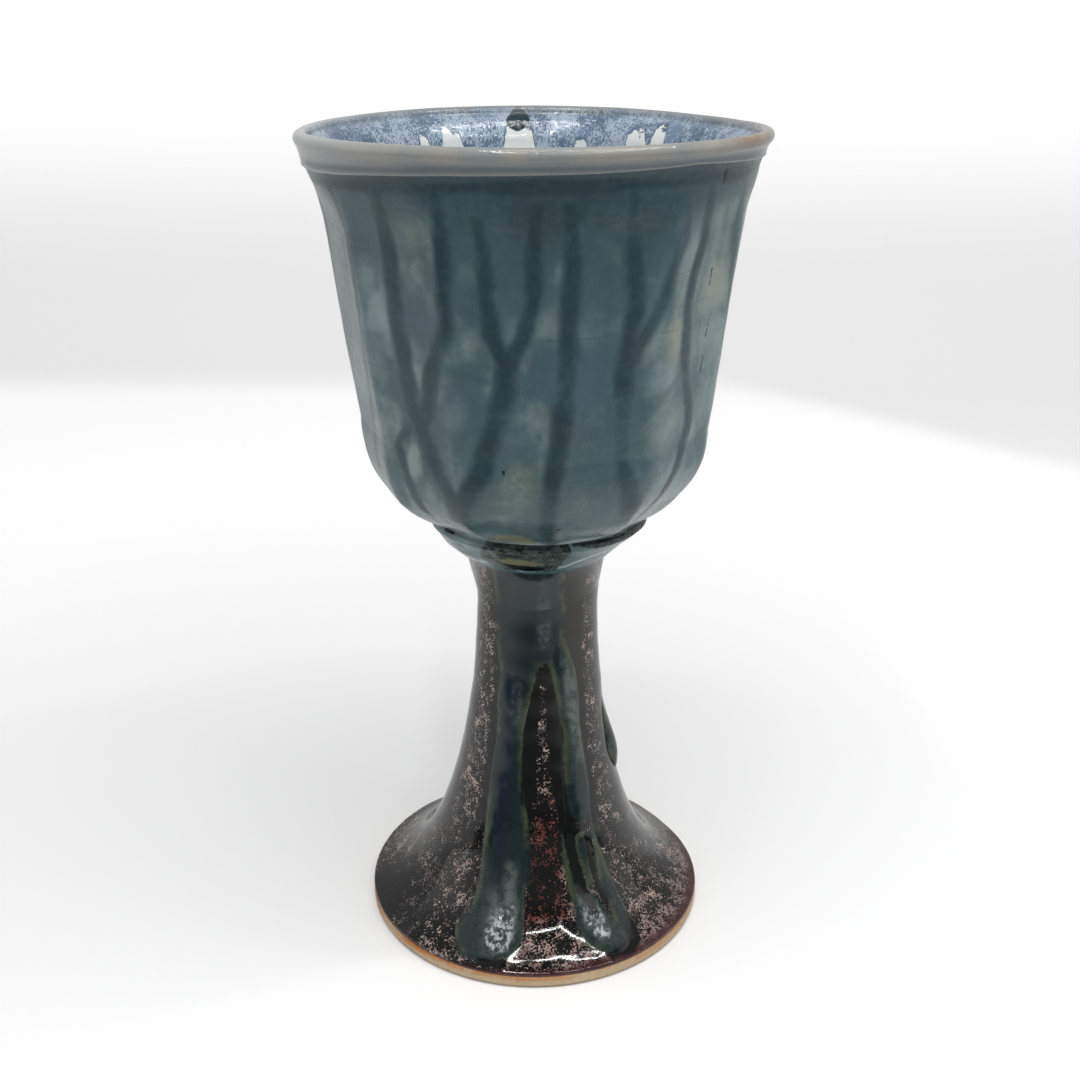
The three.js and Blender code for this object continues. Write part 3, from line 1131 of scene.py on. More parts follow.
@dataclass(frozen=True)
class BareClay:
    """Bare fired stoneware: matt buff with sand in it, flashed orange beside the glaze, with a
    painted contact shadow.
    """

    buff: str = "c3ae8f"
    warm: str = "b39c7c"
    sand: str = "9c8466"
    flash: str = "bb7338"
    # The dark brown of the painted contact shadow.
    line: str = "5a3a2a"

    def make(self, effects: Effects) -> Material:
        """Builds the material."""
        f = Finish("bare_clay", effects)
        w = f.w
        clouds = f.clouds(90.0, 0.6)
        rings = f.effect(effects.rings, fineness=700.0)
        sand = f.effect(effects.flakes, grain=1300.0, cover=0.35, drift=0.2)
        base = w.blend(w.times(clouds, 0.5), self.buff, self.warm)
        base = w.blend(w.times(sand, 0.5), base, self.sand)
        base = w.blend(w.times(w.attribute("flash"), w.step(clouds, -0.4, 1.0)), base, self.flash)
        # Painted contact shadow along the foot's bottom edge.
        base = w.blend(w.attribute("line"), base, self.line)
        f.relief((clouds, 0.0002), (rings, 0.0002), (sand, 0.00004))
        return f.surface(base, 0.82)


@dataclass
class Glazes:
    """The finishes of the whole goblet, and the trees that its shapes come from."""

    effects: Effects = field(default_factory=Effects)
    turning: NodeTree = field(default_factory=turning_tree)
    running: NodeTree = field(default_factory=run_tree)

    def __post_init__(self) -> None:
        """Makes each material once."""
        self.clay = BareClay().make(self.effects)
        self.blue_green = BlueGreenGlaze().make(self.effects)
        self.liner = LinerGlaze().make(self.effects)
        self.dark = StemGlaze("dark_glaze", 0.05).make(self.effects)
        self.run = StemGlaze("run_glaze", 0.03).make(self.effects)

    def turn(self, name: str, profile: Profile, material: Material, segments: int = RING) -> Object:
        """Turns an outline into a closed piece.

        Args:
            name: The piece's name.
            profile: Its outline, closed or with both ends on the axis.
            material: Its material.
            segments: Points in each ring.

        Returns:
            The piece.
        """
        rows = profile.rows * (MM, MM, 1.0, MM, 1.0)
        settings = {
            "Segments": segments,
            "Facets": FACETS,
            "First arris": math.radians(FIRST_ARRIS),
            "Arris softness": ARRIS_SOFTNESS,
            "Material": material,
        }
        return grown(name, rows, ROW_NAMES, self.turning, settings)


# The cup


@dataclass
class Cup:
    """The bowl: its clay, the blue-green glaze outside and the liner that rolls over its lip."""

    base: float = 97.8
    edge: float = 98.4
    edge_radius: float = 23.0
    belly: float = 120.0
    belly_radius: float = 37.4
    throat: float = 171.0
    throat_radius: float = 43.95
    roll: float = 174.3
    roll_radius: float = 45.5
    crest: float = 178.77
    lip_radius: float = 46.75
    bead: float = 1.4
    wall: float = 4.0
    floor: float = 104.3
    round_bottom: float = 19.0
    base_radius: float = 19.3
    fullness: float = 2.4
    fullness_low: float = 0.9
    flare: float = 0.95
    trumpet: float = 1.5
    scallop: float = 0.7
    facet_fade: float = 10.0
    coat: float = 0.5
    clay_depth: float = 1.1
    flat_radius: float = 12.0
    roll_round: float = 0.42
    pool_relief: float = 0.16
    tongue_start: float = 158.0
    under_rows: int = 74
    wall_rows: int = 126
    inside_rows: int = 66
    bottom_rows: int = 34
    clay_rows: int = 90
    liner_rows: int = 40

    def faceting(self, height: np.ndarray) -> np.ndarray:
        """How far the wall is faceted: the facets run out below the throat."""
        return smooth(self.throat, self.throat - self.facet_fade, height)

    def wall_radius(self, height: np.ndarray) -> np.ndarray:
        """The wall's radius over an arris."""
        share = np.clip((height - self.belly) / (self.throat - self.belly), 0.0, 1.0)
        return self.belly_radius + (self.throat_radius - self.belly_radius) * share**self.flare

    def outside(self, detail: float = 1.0) -> Profile:
        """The outline outside, from the lower edge up to just under the liner's roll."""
        share = np.linspace(0.0, 1.0, int(self.under_rows * detail)) ** 1.4
        full = 1 - (1 - share**self.fullness_low) ** self.fullness
        radius = self.edge_radius + (self.belly_radius - self.edge_radius) * full
        arch = 4 * self.scallop * np.sqrt(share) * (1 - np.sqrt(share))
        height = self.edge + (self.belly - self.edge) * share
        under = Profile.of(radius, height, 0.3 + 0.7 * smooth(0.1, 0.75, share), arch)
        height = np.linspace(self.belly, self.throat, int(self.wall_rows * detail))[1:]
        wall = Profile.of(self.wall_radius(height), height, self.faceting(height))
        lean = (self.throat_radius - self.belly_radius) * self.flare / (self.throat - self.belly)
        top = (self.roll_radius - 0.35, self.roll + 0.25)
        rise = top[1] - self.throat
        leaving, arriving = (lean * rise, rise), (0.75 * rise, rise)
        neck = bridge((self.throat_radius, self.throat), top, leaving, arriving, 10)
        return under.then(wall, neck, Profile.of([top[0]], [top[1]]))

    def over_lip(self) -> Profile:
        """The outline of the liner's roll, the flare above it, the bead and the trumpet inside."""
        edge_centre = (self.roll_radius - 0.4, self.roll + 0.35)
        edge = arc(edge_centre, self.roll_round, -110.0, 25.0, ROLL_ROWS)
        bead_centre = (self.lip_radius - self.bead, self.crest - self.bead)
        bead = arc(bead_centre, self.bead, -50.0, 180.0, 26)
        flare = bridge(edge.ring(-1), bead.ring(0), (0.15, 1.0), (1.25, 1.0), 10)
        share = np.linspace(1.0, 0.0, 16)[1:]
        inner = bead_centre[0] - self.bead
        throat = self.throat_radius - self.wall
        radius = throat + (inner - throat) * share**self.trumpet
        trumpet = Profile.of(radius, self.throat + (bead_centre[1] - self.throat) * share)
        return edge.then(flare, bead, trumpet)

    def inside(self) -> Profile:
        """The outline of the cup's inside, down to the middle of its floor."""
        top = self.floor + self.round_bottom
        height = np.linspace(self.throat, top, self.inside_rows)[1:]
        cut = 1 - self.faceting(height) * (1 - FACET_MIDDLE)
        radius = self.wall_radius(height) * cut - self.wall
        angle = np.radians(np.linspace(0.0, 90.0, self.bottom_rows))[1:]
        bottom = Profile.of(radius[-1] * np.cos(angle), top - self.round_bottom * np.sin(angle))
        return Profile.of(radius, height).then(bottom)

    def drift(self, surface: Surface) -> np.ndarray:
        """How far the liner's roll sits above or below its level, since it was dipped by hand."""
        level = np.interp(surface.turn, *LIP_DRIFT)
        weight = smooth(self.throat - 5.0, self.roll - 0.6, surface.height)
        edge = level * weight * smooth(self.crest - 2.0, self.roll + 0.2, surface.height)
        crest = np.interp(surface.turn, *CREST_DRIFT)
        return edge + crest * smooth(self.roll - 1.0, self.crest - 1.4, surface.height)

    def build(self, glazes: Glazes) -> None:
        """Builds the clay, the outer glaze and the liner."""
        self.build_clay(glazes)
        self.build_outer(glazes)
        self.build_liner(glazes)

    def build_clay(self, glazes: Glazes) -> None:
        """The clay bowl, which shows only under its turned base."""
        lip = Profile(self.over_lip().rows[ROLL_ROWS:])
        whole = self.outside(0.3).then(lip, self.inside())
        rows = whole.hidden(self.clay_depth, self.clay_rows).rows[::-1].copy()
        rows[-1, RADIUS] = 0.0
        base = Profile.of(
            np.array([0.0, self.flat_radius, self.base_radius, self.base_radius]),
            np.array([self.base, self.base, self.base, self.edge + 0.4]),
        )
        piece = glazes.turn("bowl_clay", base.then(Profile(rows)), glazes.clay, HIDDEN_RING)
        points = points_of(piece.data)
        points[:, 2] += self.drift(Surface.of(points))
        settle(piece, points, bare(piece.data), "bowl")

    def build_outer(self, glazes: Glazes) -> None:
        """The blue-green glaze over the facets."""
        outline = self.outside()
        profile = outline.then(outline.hidden(self.coat, 8)).closed()
        piece = glazes.turn("bowl_glaze_outside", profile, glazes.blue_green, FINE_RING)
        mesh = piece.data
        points, surface, shows = read(mesh)
        masks = self.streaks(surface)
        relief = self.hand_marks(surface) + self.pool_relief * masks["pool"]
        points += normals_of(mesh) * (relief * shows)[:, None]
        points[:, 2] += self.drift(surface)
        settle(piece, points, masks, "bowl_glaze")

    def build_liner(self, glazes: Glazes) -> None:
        """The liner over the lip and down to the floor of the cup."""
        outline = self.over_lip().then(self.inside())
        under = outline.hidden(self.coat, self.liner_rows)
        profile = Profile(under.rows).then(outline)
        profile.rows[0, RADIUS] = 0.0
        piece = glazes.turn("liner_glaze_inside", profile, glazes.liner)
        mesh = piece.data
        points, surface, shows = read(mesh)
        below = smooth(self.throat + 3.0, self.throat - 4.0, surface.height)
        rings = 0.09 * np.sin(2 * np.pi * surface.height / 5.3 + np.radians(surface.turn)) * below
        rings = rings * smooth(0.0, 12.0, surface.radius)
        waves = 0.06 * NOISE.rough(points, (9.0, 9.0, 5.0))
        waves = waves * smooth(self.crest + 0.5, self.crest - 3.0, surface.height)
        points += normals_of(mesh) * ((rings + waves) * shows)[:, None]
        on_lip = smooth(self.lip_radius - 4.5, self.lip_radius - 3.0, surface.radius)
        points[:, 2] += self.drift(surface) * on_lip
        settle(piece, points, self.lining(surface), "liner_glaze")

    def hand_marks(self, surface: Surface) -> np.ndarray:
        """The unevenness of hand-cut facets and of the wall, in millimetres."""
        points = surface.points
        body = smooth(self.throat + 1.0, self.throat - 8.0, surface.height)
        body = body * smooth(self.edge, self.edge + 4.0, surface.height)
        broad = 0.22 * NOISE.at(points, (15.0, 15.0, 22.0))
        small = 0.07 * NOISE.rough(points, (5.0, 5.0, 3.2))
        return (broad + small) * body

    def above_edge(self, surface: Surface) -> tuple[np.ndarray, np.ndarray]:
        """How far each point lies out from the wall's lower edge, and how near a facet's middle."""
        across = ((surface.turn - FIRST_ARRIS) % FACET_ANGLE) / FACET_ANGLE
        cut = 0.7 + 0.3 * FACET_MIDDLE / np.cos(np.radians((across - 0.5) * FACET_ANGLE))
        return surface.radius / cut - self.edge_radius, 4.0 * across * (1.0 - across)

    def streaks(self, surface: Surface) -> dict[str, np.ndarray]:
        """The masks of the outer glaze.

        Args:
            surface: The places to read.

        Returns:
            The streaks' depth with painted shade under the liner's roll, the thin places, the pale
            lower edge where the glaze breaks with a painted reflection, the buff places, and the
            shade, olive, ink and murk.
        """
        turn, height, points = surface.turn, surface.height, surface.points
        wander = 1.5 * NOISE.rough(points, (9.0, 9.0, 14.0))
        wander = wander + 0.7 * NOISE.rough(points + 3.0, (3.0, 3.0, 5.0))
        sway = 2.0 * NOISE.at(points + 31.0, (12.0, 12.0, 9.0))
        bent = Surface(points, turn + wander, height + sway, surface.radius)
        pool = deepest([trail.on(bent) for trail in WALL_TRAILS + BACK_TRAILS])
        pool = pool * (0.86 + 0.2 * NOISE.rough(points + 17.0, (5.0, 5.0, 11.0)))
        band = smooth(157.0, 168.0, height + 4.0 * NOISE.at(points, (9.0, 9.0, 30.0)))
        front = smooth(62.0, 20.0, np.abs(turned_from(2.0, turn)))
        shade_under_roll = smooth(168.5, 172.5, height)
        pool = np.maximum(pool, band * (0.3 + 0.5 * front) * 0.66)
        # Painted shade: a dark band just under the liner's roll.
        pool = np.maximum(pool, 0.95 * shade_under_roll)
        shade = 0.3 * smooth(140.0, 165.0, height) * (0.4 + 0.6 * front)
        shade = shade + 0.3 * (0.5 + 0.5 * NOISE.rough(points, (6.0, 6.0, 16.0)))
        cells = PALE_CELLS + back_cells(31)
        uneven = Surface(
            points,
            bent.turn + 2.2 * NOISE.rough(points + 51.0, (5.0, 5.0, 6.0)),
            bent.height + 2.6 * NOISE.rough(points + 57.0, (4.5, 4.5, 5.0)),
            surface.radius,
        )
        drawn = [each.on(uneven) for each in cells]
        dry = 1 - smooth(0.05, 0.75, pool)
        drifts = smooth(-0.35, 0.4, NOISE.rough(points + 70.0, (6.0, 6.0, 12.0)))
        drifts = drifts * (0.55 + 0.45 * smooth(-0.3, 0.3,
                                                NOISE.rough(points + 83.0, (11.0, 11.0, 7.0))))
        low_front = 1 - 0.75 * front * smooth(146.0, 158.0, height)
        cell = np.maximum(0.85 * deepest(drawn), 0.6 * drifts * low_front)
        aside = smooth(14.0, 50.0, np.abs(turned_from(4.0, turn)))
        cell = cell * (0.7 + 0.3 * aside) + (0.26 + 0.1 * np.sin(np.radians(turn))) * aside
        cell = cell * dry
        # Pale along each facet's rounded lower edge: the glaze breaking thin, and a painted
        # reflection of the floor.
        out, middle = self.above_edge(surface)
        out = out + 0.35 * NOISE.at(points, (5.0, 5.0, 5.0))
        breaking_and_sheen = smooth(-0.6, 0.1, out) * smooth(4.4, 1.2, out) * smooth(112.0, 107.0, height)
        breaking_and_sheen = breaking_and_sheen * (0.25 + 0.75 * smooth(0.15, 0.6, middle))
        pool = pool * (1 - 0.8 * breaking_and_sheen)
        buff = deepest([each.buff * level for each, level in zip(cells, drawn)])
        buff = 0.95 * buff * dry
        return {
            "pool": pool,
            "cell": cell * smooth(170.0, 165.0, height),
            "breaking_and_sheen": breaking_and_sheen,
            "buff": buff,
            "shade": shade,
            "olive": within(WALL_OLIVE, surface),
            "ink": within(WALL_INK, surface),
            "murk": np.full(len(turn), -9.0),
        }

    def lining(self, surface: Surface) -> dict[str, np.ndarray]:
        """The masks of the liner.

        Args:
            surface: The places to read.

        Returns:
            The frost's cover, the white tongues, the drip, the lip, its pale side, stain and shade.
        """
        turn, height, points = surface.turn, surface.height, surface.points
        outer = smooth(self.lip_radius - 3.6, self.lip_radius - 1.6, surface.radius)
        jagged = 1.9 * NOISE.rough(points, (2.6, 2.6, 6.0), 4)
        start = self.tongue_start
        reach = np.full(len(turn), start)
        for centre, half, top in TONGUES:
            share = np.abs(turned_from(centre, turn)) / half
            reach = np.maximum(reach, start + (top - start) * smooth(1.25, 0.55, share))
        tongue = reach - height + jagged
        lip = outer * smooth(self.roll - 4.0, self.roll - 3.0, height)
        stain = bump(58.0, 34.0, turned_from(0.0, turn)) + 0.4 * bump(100.0, 50.0, turn)
        stain = stain + 0.3 * bump(-70.0, 25.0, turn)
        stain = stain * smooth(self.crest - 3.0, self.crest - 0.6, height)
        groove = bump(self.roll + 1.0, 1.7, height - self.drift(surface)) * outer
        return {
            "frost": 0.75 + 0.5 * NOISE.at(points, (6.0, 6.0, 6.0)),
            "tongue": tongue,
            "drip": within(LIP_DRIP, surface),
            "lip": lip,
            "pale": bump(-84.0, 70.0, turn) * lip,
            "stain": np.clip(stain, 0.0, 1.0),
            "shade": 0.75 * groove,
        }


# The collar


@dataclass
class Collar:
    """The collar of joining clay between the stem and the bowl, with its glaze."""

    base: float = 88.0
    joint: float = 88.0
    top: float = 98.1
    joint_radius: float = 14.65
    radius: float = 23.7
    shoulder: float = 1.4
    power: float = 0.86
    start: float = 0.12
    fillet: float = 99.5
    seat_radius: float = 22.05
    seat_inner: float = 20.8
    bore: float = 8.55
    coat: float = 0.5
    clay_depth: float = 0.8
    rows: int = 52
    clay_rows: int = 24
    hidden_rows: int = 20

    def outside(self) -> Profile:
        """The outline from the joint out to the shoulder and in over the flat top."""
        share = np.linspace(self.start, 1.0, self.rows)
        spread_top = self.top - self.shoulder
        radius = self.joint_radius + (self.radius - self.joint_radius) * share**self.power
        spread = Profile.of(radius, self.joint + (spread_top - self.joint) * share)
        shoulder = arc((self.radius - self.shoulder, spread_top), self.shoulder, 0.0, 60.0, 12)
        end = (self.seat_radius, self.fillet)
        fillet = bridge(shoulder.ring(-1), end, (-0.5, 0.3), (-0.2, 1.0), 9)
        fillet = fillet.then(Profile.of([self.seat_radius, self.seat_inner], [self.fillet] * 2))
        tucked = Profile.of([14.6, 14.8, 15.0], [88.3, 88.5, 88.7])
        return tucked.then(spread, Profile(shoulder.rows[1:]), fillet)

    def build(self, glazes: Glazes) -> None:
        """Builds the clay and the glaze."""
        outline = self.outside()
        rows = outline.hidden(self.clay_depth, self.clay_rows).rows[::-1].copy()
        rows = rows[(rows[:, HEIGHT] > self.base) & (rows[:, HEIGHT] < self.top - 0.7)]
        ring = Profile.of([self.bore, 13.2], [self.base, self.base]).then(Profile(rows))
        ring = ring.then(Profile.of([19.5, self.bore], [self.top - 0.6, self.top - 0.6])).closed()
        piece = glazes.turn("collar_clay", ring, glazes.clay, HIDDEN_RING)
        settle(piece, points_of(piece.data), bare(piece.data), "joint_collar")

        profile = outline.then(outline.hidden(self.coat, self.hidden_rows)).closed()
        piece = glazes.turn("collar_glaze", profile, glazes.blue_green)
        mesh = piece.data
        points, surface, shows = read(mesh)
        open_front = smooth(14.5, 12.5, np.abs(turned_from(-8.5, surface.turn)))
        drop = open_front * smooth(self.top - 0.6, self.top + 0.3, surface.height)
        points += normals_of(mesh) * (collar_waves(surface) * shows)[:, None]
        points[:, 2] -= drop
        settle(piece, points, self.glazing(surface), "collar_glaze")

    def glazing(self, surface: Surface) -> dict[str, np.ndarray]:
        """The masks of the collar's glaze.

        Args:
            surface: The places to read.

        Returns:
            The same masks as the bowl's glaze has.
        """
        turn, height, points = surface.turn, surface.height, surface.points
        wander = 3.0 * NOISE.at(points, (3.0, 3.0, 3.0))
        ragged = Surface(points, turn + wander, height, surface.radius)
        murk = deepest([within(COLLAR_MURK, surface), within(RAGGED_MURK, ragged)])
        upper = smooth(94.0, 97.5, height)
        # A painted highlight along the edge of the stem's glaze.
        line = bump(0.35, 0.8, height - joint_edge(surface)) * (1 - smooth(0.0, 1.0, murk))
        cell = 0.15 + 0.25 * smooth(-24.0, -34.0, turn) + 0.4 * upper
        # A painted highlight in the fillet under the bowl's edge.
        rim = 0.5 * smooth(97.9, 98.9, height) * smooth(100.5, 99.4, height)
        return {
            "pool": 0.24 + 0.3 * NOISE.rough(points, (5.0, 5.0, 3.0)),
            "cell": cell + 0.3 * NOISE.rough(points + 40.0, (4.0, 4.0, 3.0)),
            "breaking_and_sheen": np.maximum(rim, 0.8 * line),
            "buff": np.zeros(len(turn)),
            "shade": np.full(len(turn), 0.1),
            "olive": within(COLLAR_OLIVE, surface),
            # Ink marks, with painted shadow in the crevice and the notch at the front.
            "ink": deepest([within(COLLAR_INK_AND_SHADOW, surface), within(RAGGED_INK, ragged)]),
            "murk": murk,
        }


def collar_waves(surface: Surface) -> np.ndarray:
    """The unevenness of the collar, which the top of the stem's glaze shares, in millimetres."""
    waves = 0.16 * NOISE.rough(surface.points, (6.0, 6.0, 4.0))
    waves = waves + 0.05 * NOISE.at(surface.points, (2.5, 2.5, 1.6))
    return waves * smooth(88.6, 91.0, surface.height) * smooth(99.4, 98.4, surface.height)


def joint_edge(surface: Surface) -> np.ndarray:
    """The height at which the stem's glaze ends on the collar, uneven since it was dipped."""
    ragged = 0.35 * NOISE.rough(surface.points + 21.0, (3.0, 3.0, 9.0))
    return np.interp(surface.turn, *JOINT_EDGE) + ragged


JOINT_EDGE = (
    [-180, -140, -100, -60, -47, -35, -24, -8, 7, 20, 28, 36, 44, 60, 90, 120, 150, 180],
    [91.0, 92.0, 91.4, 91.2, 91.3, 91.6, 91.4, 90.0, 90.6, 91.2, 92.7, 93.3, 93.6, 93.0, 91.6, 92.4,
     91.4, 91.0],
)


COLLAR_MURK = (((99.6, -27, 12), (98.0, -28, 16), (93.5, -33, 17), (90.4, -26, 14)),)

RAGGED_MURK = (
    ((98.9, 17, 34), (97.9, 18, 50), (96.9, 30, 60)),
    ((98.2, 50, 74), (97.0, 44, 76), (96.0, 46, 66)),
    ((95.9, -47, -41), (94.8, -46, -41)),
    ((99.0, 110, 150), (91.0, 116, 142)),
)

# Black on the collar. The first two patches are painted shadow: a line in the crevice under the
# bowl's edge, and a pool in the notch over the stem at the front.
COLLAR_INK_AND_SHADOW = (
    ((99.6, -24, 3.5), (98.4, -24, 3.5)),
    ((92.5, -22, -8), (91.9, -20, 7), (91.0, -14, 6), (90.3, -9, 2)),
    ((95.9, -22, -8), (95.4, -22, -10)),
)

RAGGED_INK = (
    ((98.2, 19, 28), (97.8, 24, 48), (97.5, 38, 56)),
    ((98.0, -60, -50), (97.5, -58, -51)),
)

COLLAR_OLIVE = (((94.7, -17, -8), (94.0, -21, -1), (93.3, -20, 4), (92.6, -13, 5)),)


# The stem and its foot


@dataclass
class Stem:
    """The stem and foot: hollow clay with a bare ring, and its dark speckled glaze."""

    top: float = 88.0
    band: float = 3.2
    foot_radius: float = 39.2
    flare_radius: float = 28.6
    waist_radius: float = 13.4
    joint_radius: float = 14.6
    neck: float = 12.0
    neck_power: float = 1.5
    taper_length: float = 78.8
    taper: float = 2.2
    spread: float = 6.2
    ring: float = 7.6
    edge_round: float = 0.7
    bore: float = 8.55
    cavity: float = 3.8
    coat: float = 0.5
    lip_round: float = 0.65
    lip_swell: float = 0.85
    lip_fade: float = 1.5
    over_joint: float = 8.0
    over_spread: float = 9.1
    over_power: float = 1.25
    clay_top: float = 13.2
    clay_depth: float = 1.3
    rows: int = 172
    joint_rows: int = 34
    hidden_rows: int = 10
    hollow_rows: int = 110

    def radius(self, height: np.ndarray) -> np.ndarray:
        """The glazed stem's radius, with the rounded edge of its foot."""
        rise = height - self.band
        taper = np.clip(1 - rise / self.taper_length, 0.0, 1.0)
        opening = np.clip((height - self.top) / self.neck + 1.0, 0.0, 1.0)
        above = np.clip((height - self.top) / self.over_joint, 0.0, None)
        edge = self.lip_swell * np.exp(-np.clip(rise - self.lip_round, 0.0, None) / self.lip_fade)
        return (
            self.waist_radius
            + (self.flare_radius - self.waist_radius) * taper**self.taper
            + (self.foot_radius - self.flare_radius) * np.exp(-rise / self.spread)
            + (self.joint_radius - self.waist_radius) * opening**self.neck_power
            + self.over_spread * above**self.over_power
            + edge
        )

    def slope(self, height: np.ndarray) -> np.ndarray:
        """The change of the radius with the height."""
        step = 0.01
        return (self.radius(height + step) - self.radius(height - step)) / (2 * step)

    def outside(self) -> Profile:
        """The glaze's outline, from its rounded lower edge up to the joint."""
        centre = (self.foot_radius - self.lip_round, self.band + 0.1)
        edge = arc(centre, self.lip_round, -75.0, 58.0, 12)
        start = edge.height[-1] + 0.12
        share = np.linspace(0.0, 1.0, self.rows) ** 1.7
        height = start + (self.top - 0.2 - start) * share
        over = np.linspace(self.top, self.top + 7.0, self.joint_rows)
        rows = np.concatenate([height, over])
        return edge.then(Profile.of(self.radius(rows), rows))

    def build(self, glazes: Glazes) -> None:
        """Builds the clay and the glaze."""
        self.build_clay(glazes)
        profile = self.outside()
        profile = profile.then(profile.hidden(self.coat, self.hidden_rows)).closed()
        piece = glazes.turn("stem_glaze", profile, glazes.dark, FINE_RING)
        mesh = piece.data
        points, surface, shows = read(mesh)
        past = surface.height - joint_edge(surface)
        lap = 0.09 - 0.6 * smooth(-0.25, 0.25, past)
        lap = lap * smooth(self.top - 1.5, self.top + 0.8, surface.height)
        marks = self.hand_marks(surface) + collar_waves(surface) + lap
        points += normals_of(mesh) * (marks * shows)[:, None]
        low = smooth(self.band + 2.0, self.band + 0.2, surface.height)
        points[:, 2] += 0.32 * low * NOISE.rough(points, (11.0, 11.0, 40.0))
        settle(piece, points, stem_masks(surface), "stem_glaze")

    def hand_marks(self, surface: Surface) -> np.ndarray:
        """The unevenness of the thrown stem, in millimetres."""
        body = smooth(self.band + 0.5, self.band + 5.0, surface.height)
        body = body * (0.25 + 0.75 * smooth(8.0, 26.0, surface.height))
        body = body * smooth(self.top, self.top - 4.0, surface.height)
        rings = 0.015 * np.sin(2 * np.pi * surface.height / 7.0 + np.radians(surface.turn))
        broad = 0.12 * NOISE.at(surface.points, (12.0, 12.0, 22.0))
        small = 0.02 * NOISE.rough(surface.points + 9.0, (4.0, 4.0, 8.0))
        return (rings + broad + small) * body

    def build_clay(self, glazes: Glazes) -> None:
        """The clay, which shows as the bare band and from below."""
        mouth = self.foot_radius - self.ring
        flat = self.foot_radius - self.edge_round
        band = Profile.of([mouth + 0.6, flat - 2.0, flat], [0.0, 0.0, 0.0])
        edge = arc((flat, self.edge_round), self.edge_round, -90.0, 0.0, 8)
        side = Profile.of([self.foot_radius] * 6, np.linspace(1.0, self.band - 0.35, 6))
        height = np.linspace(self.band + 0.9, self.top - 0.4, 30)
        under = Profile.of(self.radius(height) - self.clay_depth, height)
        rise = np.linspace(self.top, 0.6, self.hollow_rows)
        hollow = self.bore + (mouth - self.bore) * (1 - rise / self.top) ** self.cavity
        tuck = Profile.of([self.foot_radius - 1.2], [self.band - 0.1])
        top = Profile.of([self.clay_top], [self.top])
        profile = band.then(edge, side, tuck, under, top, Profile.of(hollow, rise)).closed()
        piece = glazes.turn("stem_foot_clay", profile, glazes.clay, FOOT_RING)
        mesh = piece.data
        points = points_of(mesh)
        surface = Surface.of(points)
        hollowed = smooth(mouth + 0.5, mouth - 4.0, surface.radius) * smooth(0.0, 3.0,
                                                                             surface.height)
        rings = 0.22 * np.sin(2 * np.pi * surface.height / 4.2 + np.radians(surface.turn))
        waves = 0.1 * NOISE.rough(points, (7.0, 7.0, 3.0))
        points += normals_of(mesh) * ((rings + waves) * hollowed)[:, None]
        settle(piece, points, self.flash_and_contact_shadow(surface), "stem_foot")

    def flash_and_contact_shadow(self, surface: Surface) -> dict[str, np.ndarray]:
        """The orange flash beside the glaze, and a painted contact shadow: a dark line where the
        goblet stands.
        """
        rim = smooth(self.foot_radius - 1.5, self.foot_radius - 0.5, surface.radius)
        uneven = 0.7 * NOISE.at(surface.points, (7.0, 7.0, 60.0))
        left = 0.5 + 0.5 * bump(-45.0, 90.0, surface.turn)
        flash = smooth(self.band - 1.9, self.band - 0.7, surface.height + uneven) * rim * left
        # Painted contact shadow, where the goblet stands on the floor.
        contact_shadow = smooth(0.8, 0.25, surface.height) * rim * 0.8
        return {"flash": flash, "line": contact_shadow}


def stem_masks(surface: Surface) -> dict[str, np.ndarray]:
    """The masks of the stem's glaze, which its runs share.

    Args:
        surface: The places to read.

    Returns:
        The distance into the runs, their navy, their pale film with a painted hazy reflection on
        the drops, their ink with painted shade at the drops' lower edges, the flakes' cover, rust
        and mauve, and the brown and maroon of the glaze itself.
    """
    turn, height, points = surface.turn, surface.height, surface.points
    bent = Surface(points, turn + 1.6 * NOISE.at(points, (5.0, 5.0, 8.0)), height, surface.radius)
    run = within(RUN_PATCHES, bent)
    navy = NAVY_TRAIL.on(surface)
    pale = deepest([Trail(places, width, 0.55, 3.0).on(bent) for places, width in FILM_AND_SHEEN_TRAILS])
    ink = within(STEM_INK_AND_SHADE, bent)
    foot = smooth(44.0, 16.0, height)
    bands = deepest(
        [bump(centre, width, turned_from(centre, turn) + centre) for centre, width in FLAKE_BANDS]
    )
    clouds = NOISE.rough(points + 5.0, (9.0, 9.0, 12.0))
    cover = 0.72 * smooth(0.05, 0.5, bands) * smooth(93.0, 90.0, height)
    cover = np.maximum(cover, 0.74 * foot)
    spear = within(RUST_SPEAR, bent)
    cover = np.maximum(cover, 0.8 * smooth(-0.6, 0.8, spear))
    bare_left = bump(-74.0, 26.0, turn) * smooth(12.0, 5.0, height)
    cover = cover * (1 - 0.9 * bare_left)
    flake = cover * (0.76 + 0.3 * clouds) - 0.3 * (1 - cover)
    edge = smooth(9.0, 3.5, height) * smooth(-30.0, 25.0, turn) * smooth(120.0, 80.0, turn)
    flake = flake + 0.3 * edge
    rust = smooth(-1.0, 1.0, spear) * smooth(44.0, 28.0, height)
    upper = smooth(46.0, 66.0, height)
    brown = upper * smooth(12.0, 9.0, np.abs(turned_from(37.0, turn)) - 6.0)
    brown = np.maximum(brown, 0.7 * upper * bump(-43.0, 10.0, turn))
    return {
        "run": run,
        "navy": navy,
        "pale": pale,
        "ink": ink,
        "flake": flake,
        "rust": 0.9 * rust,
        "mauve": edge,
        "brown": brown,
        "maroon": 3.5 + 0.9 * smooth(-40.0, 40.0, turn) - height,
    }


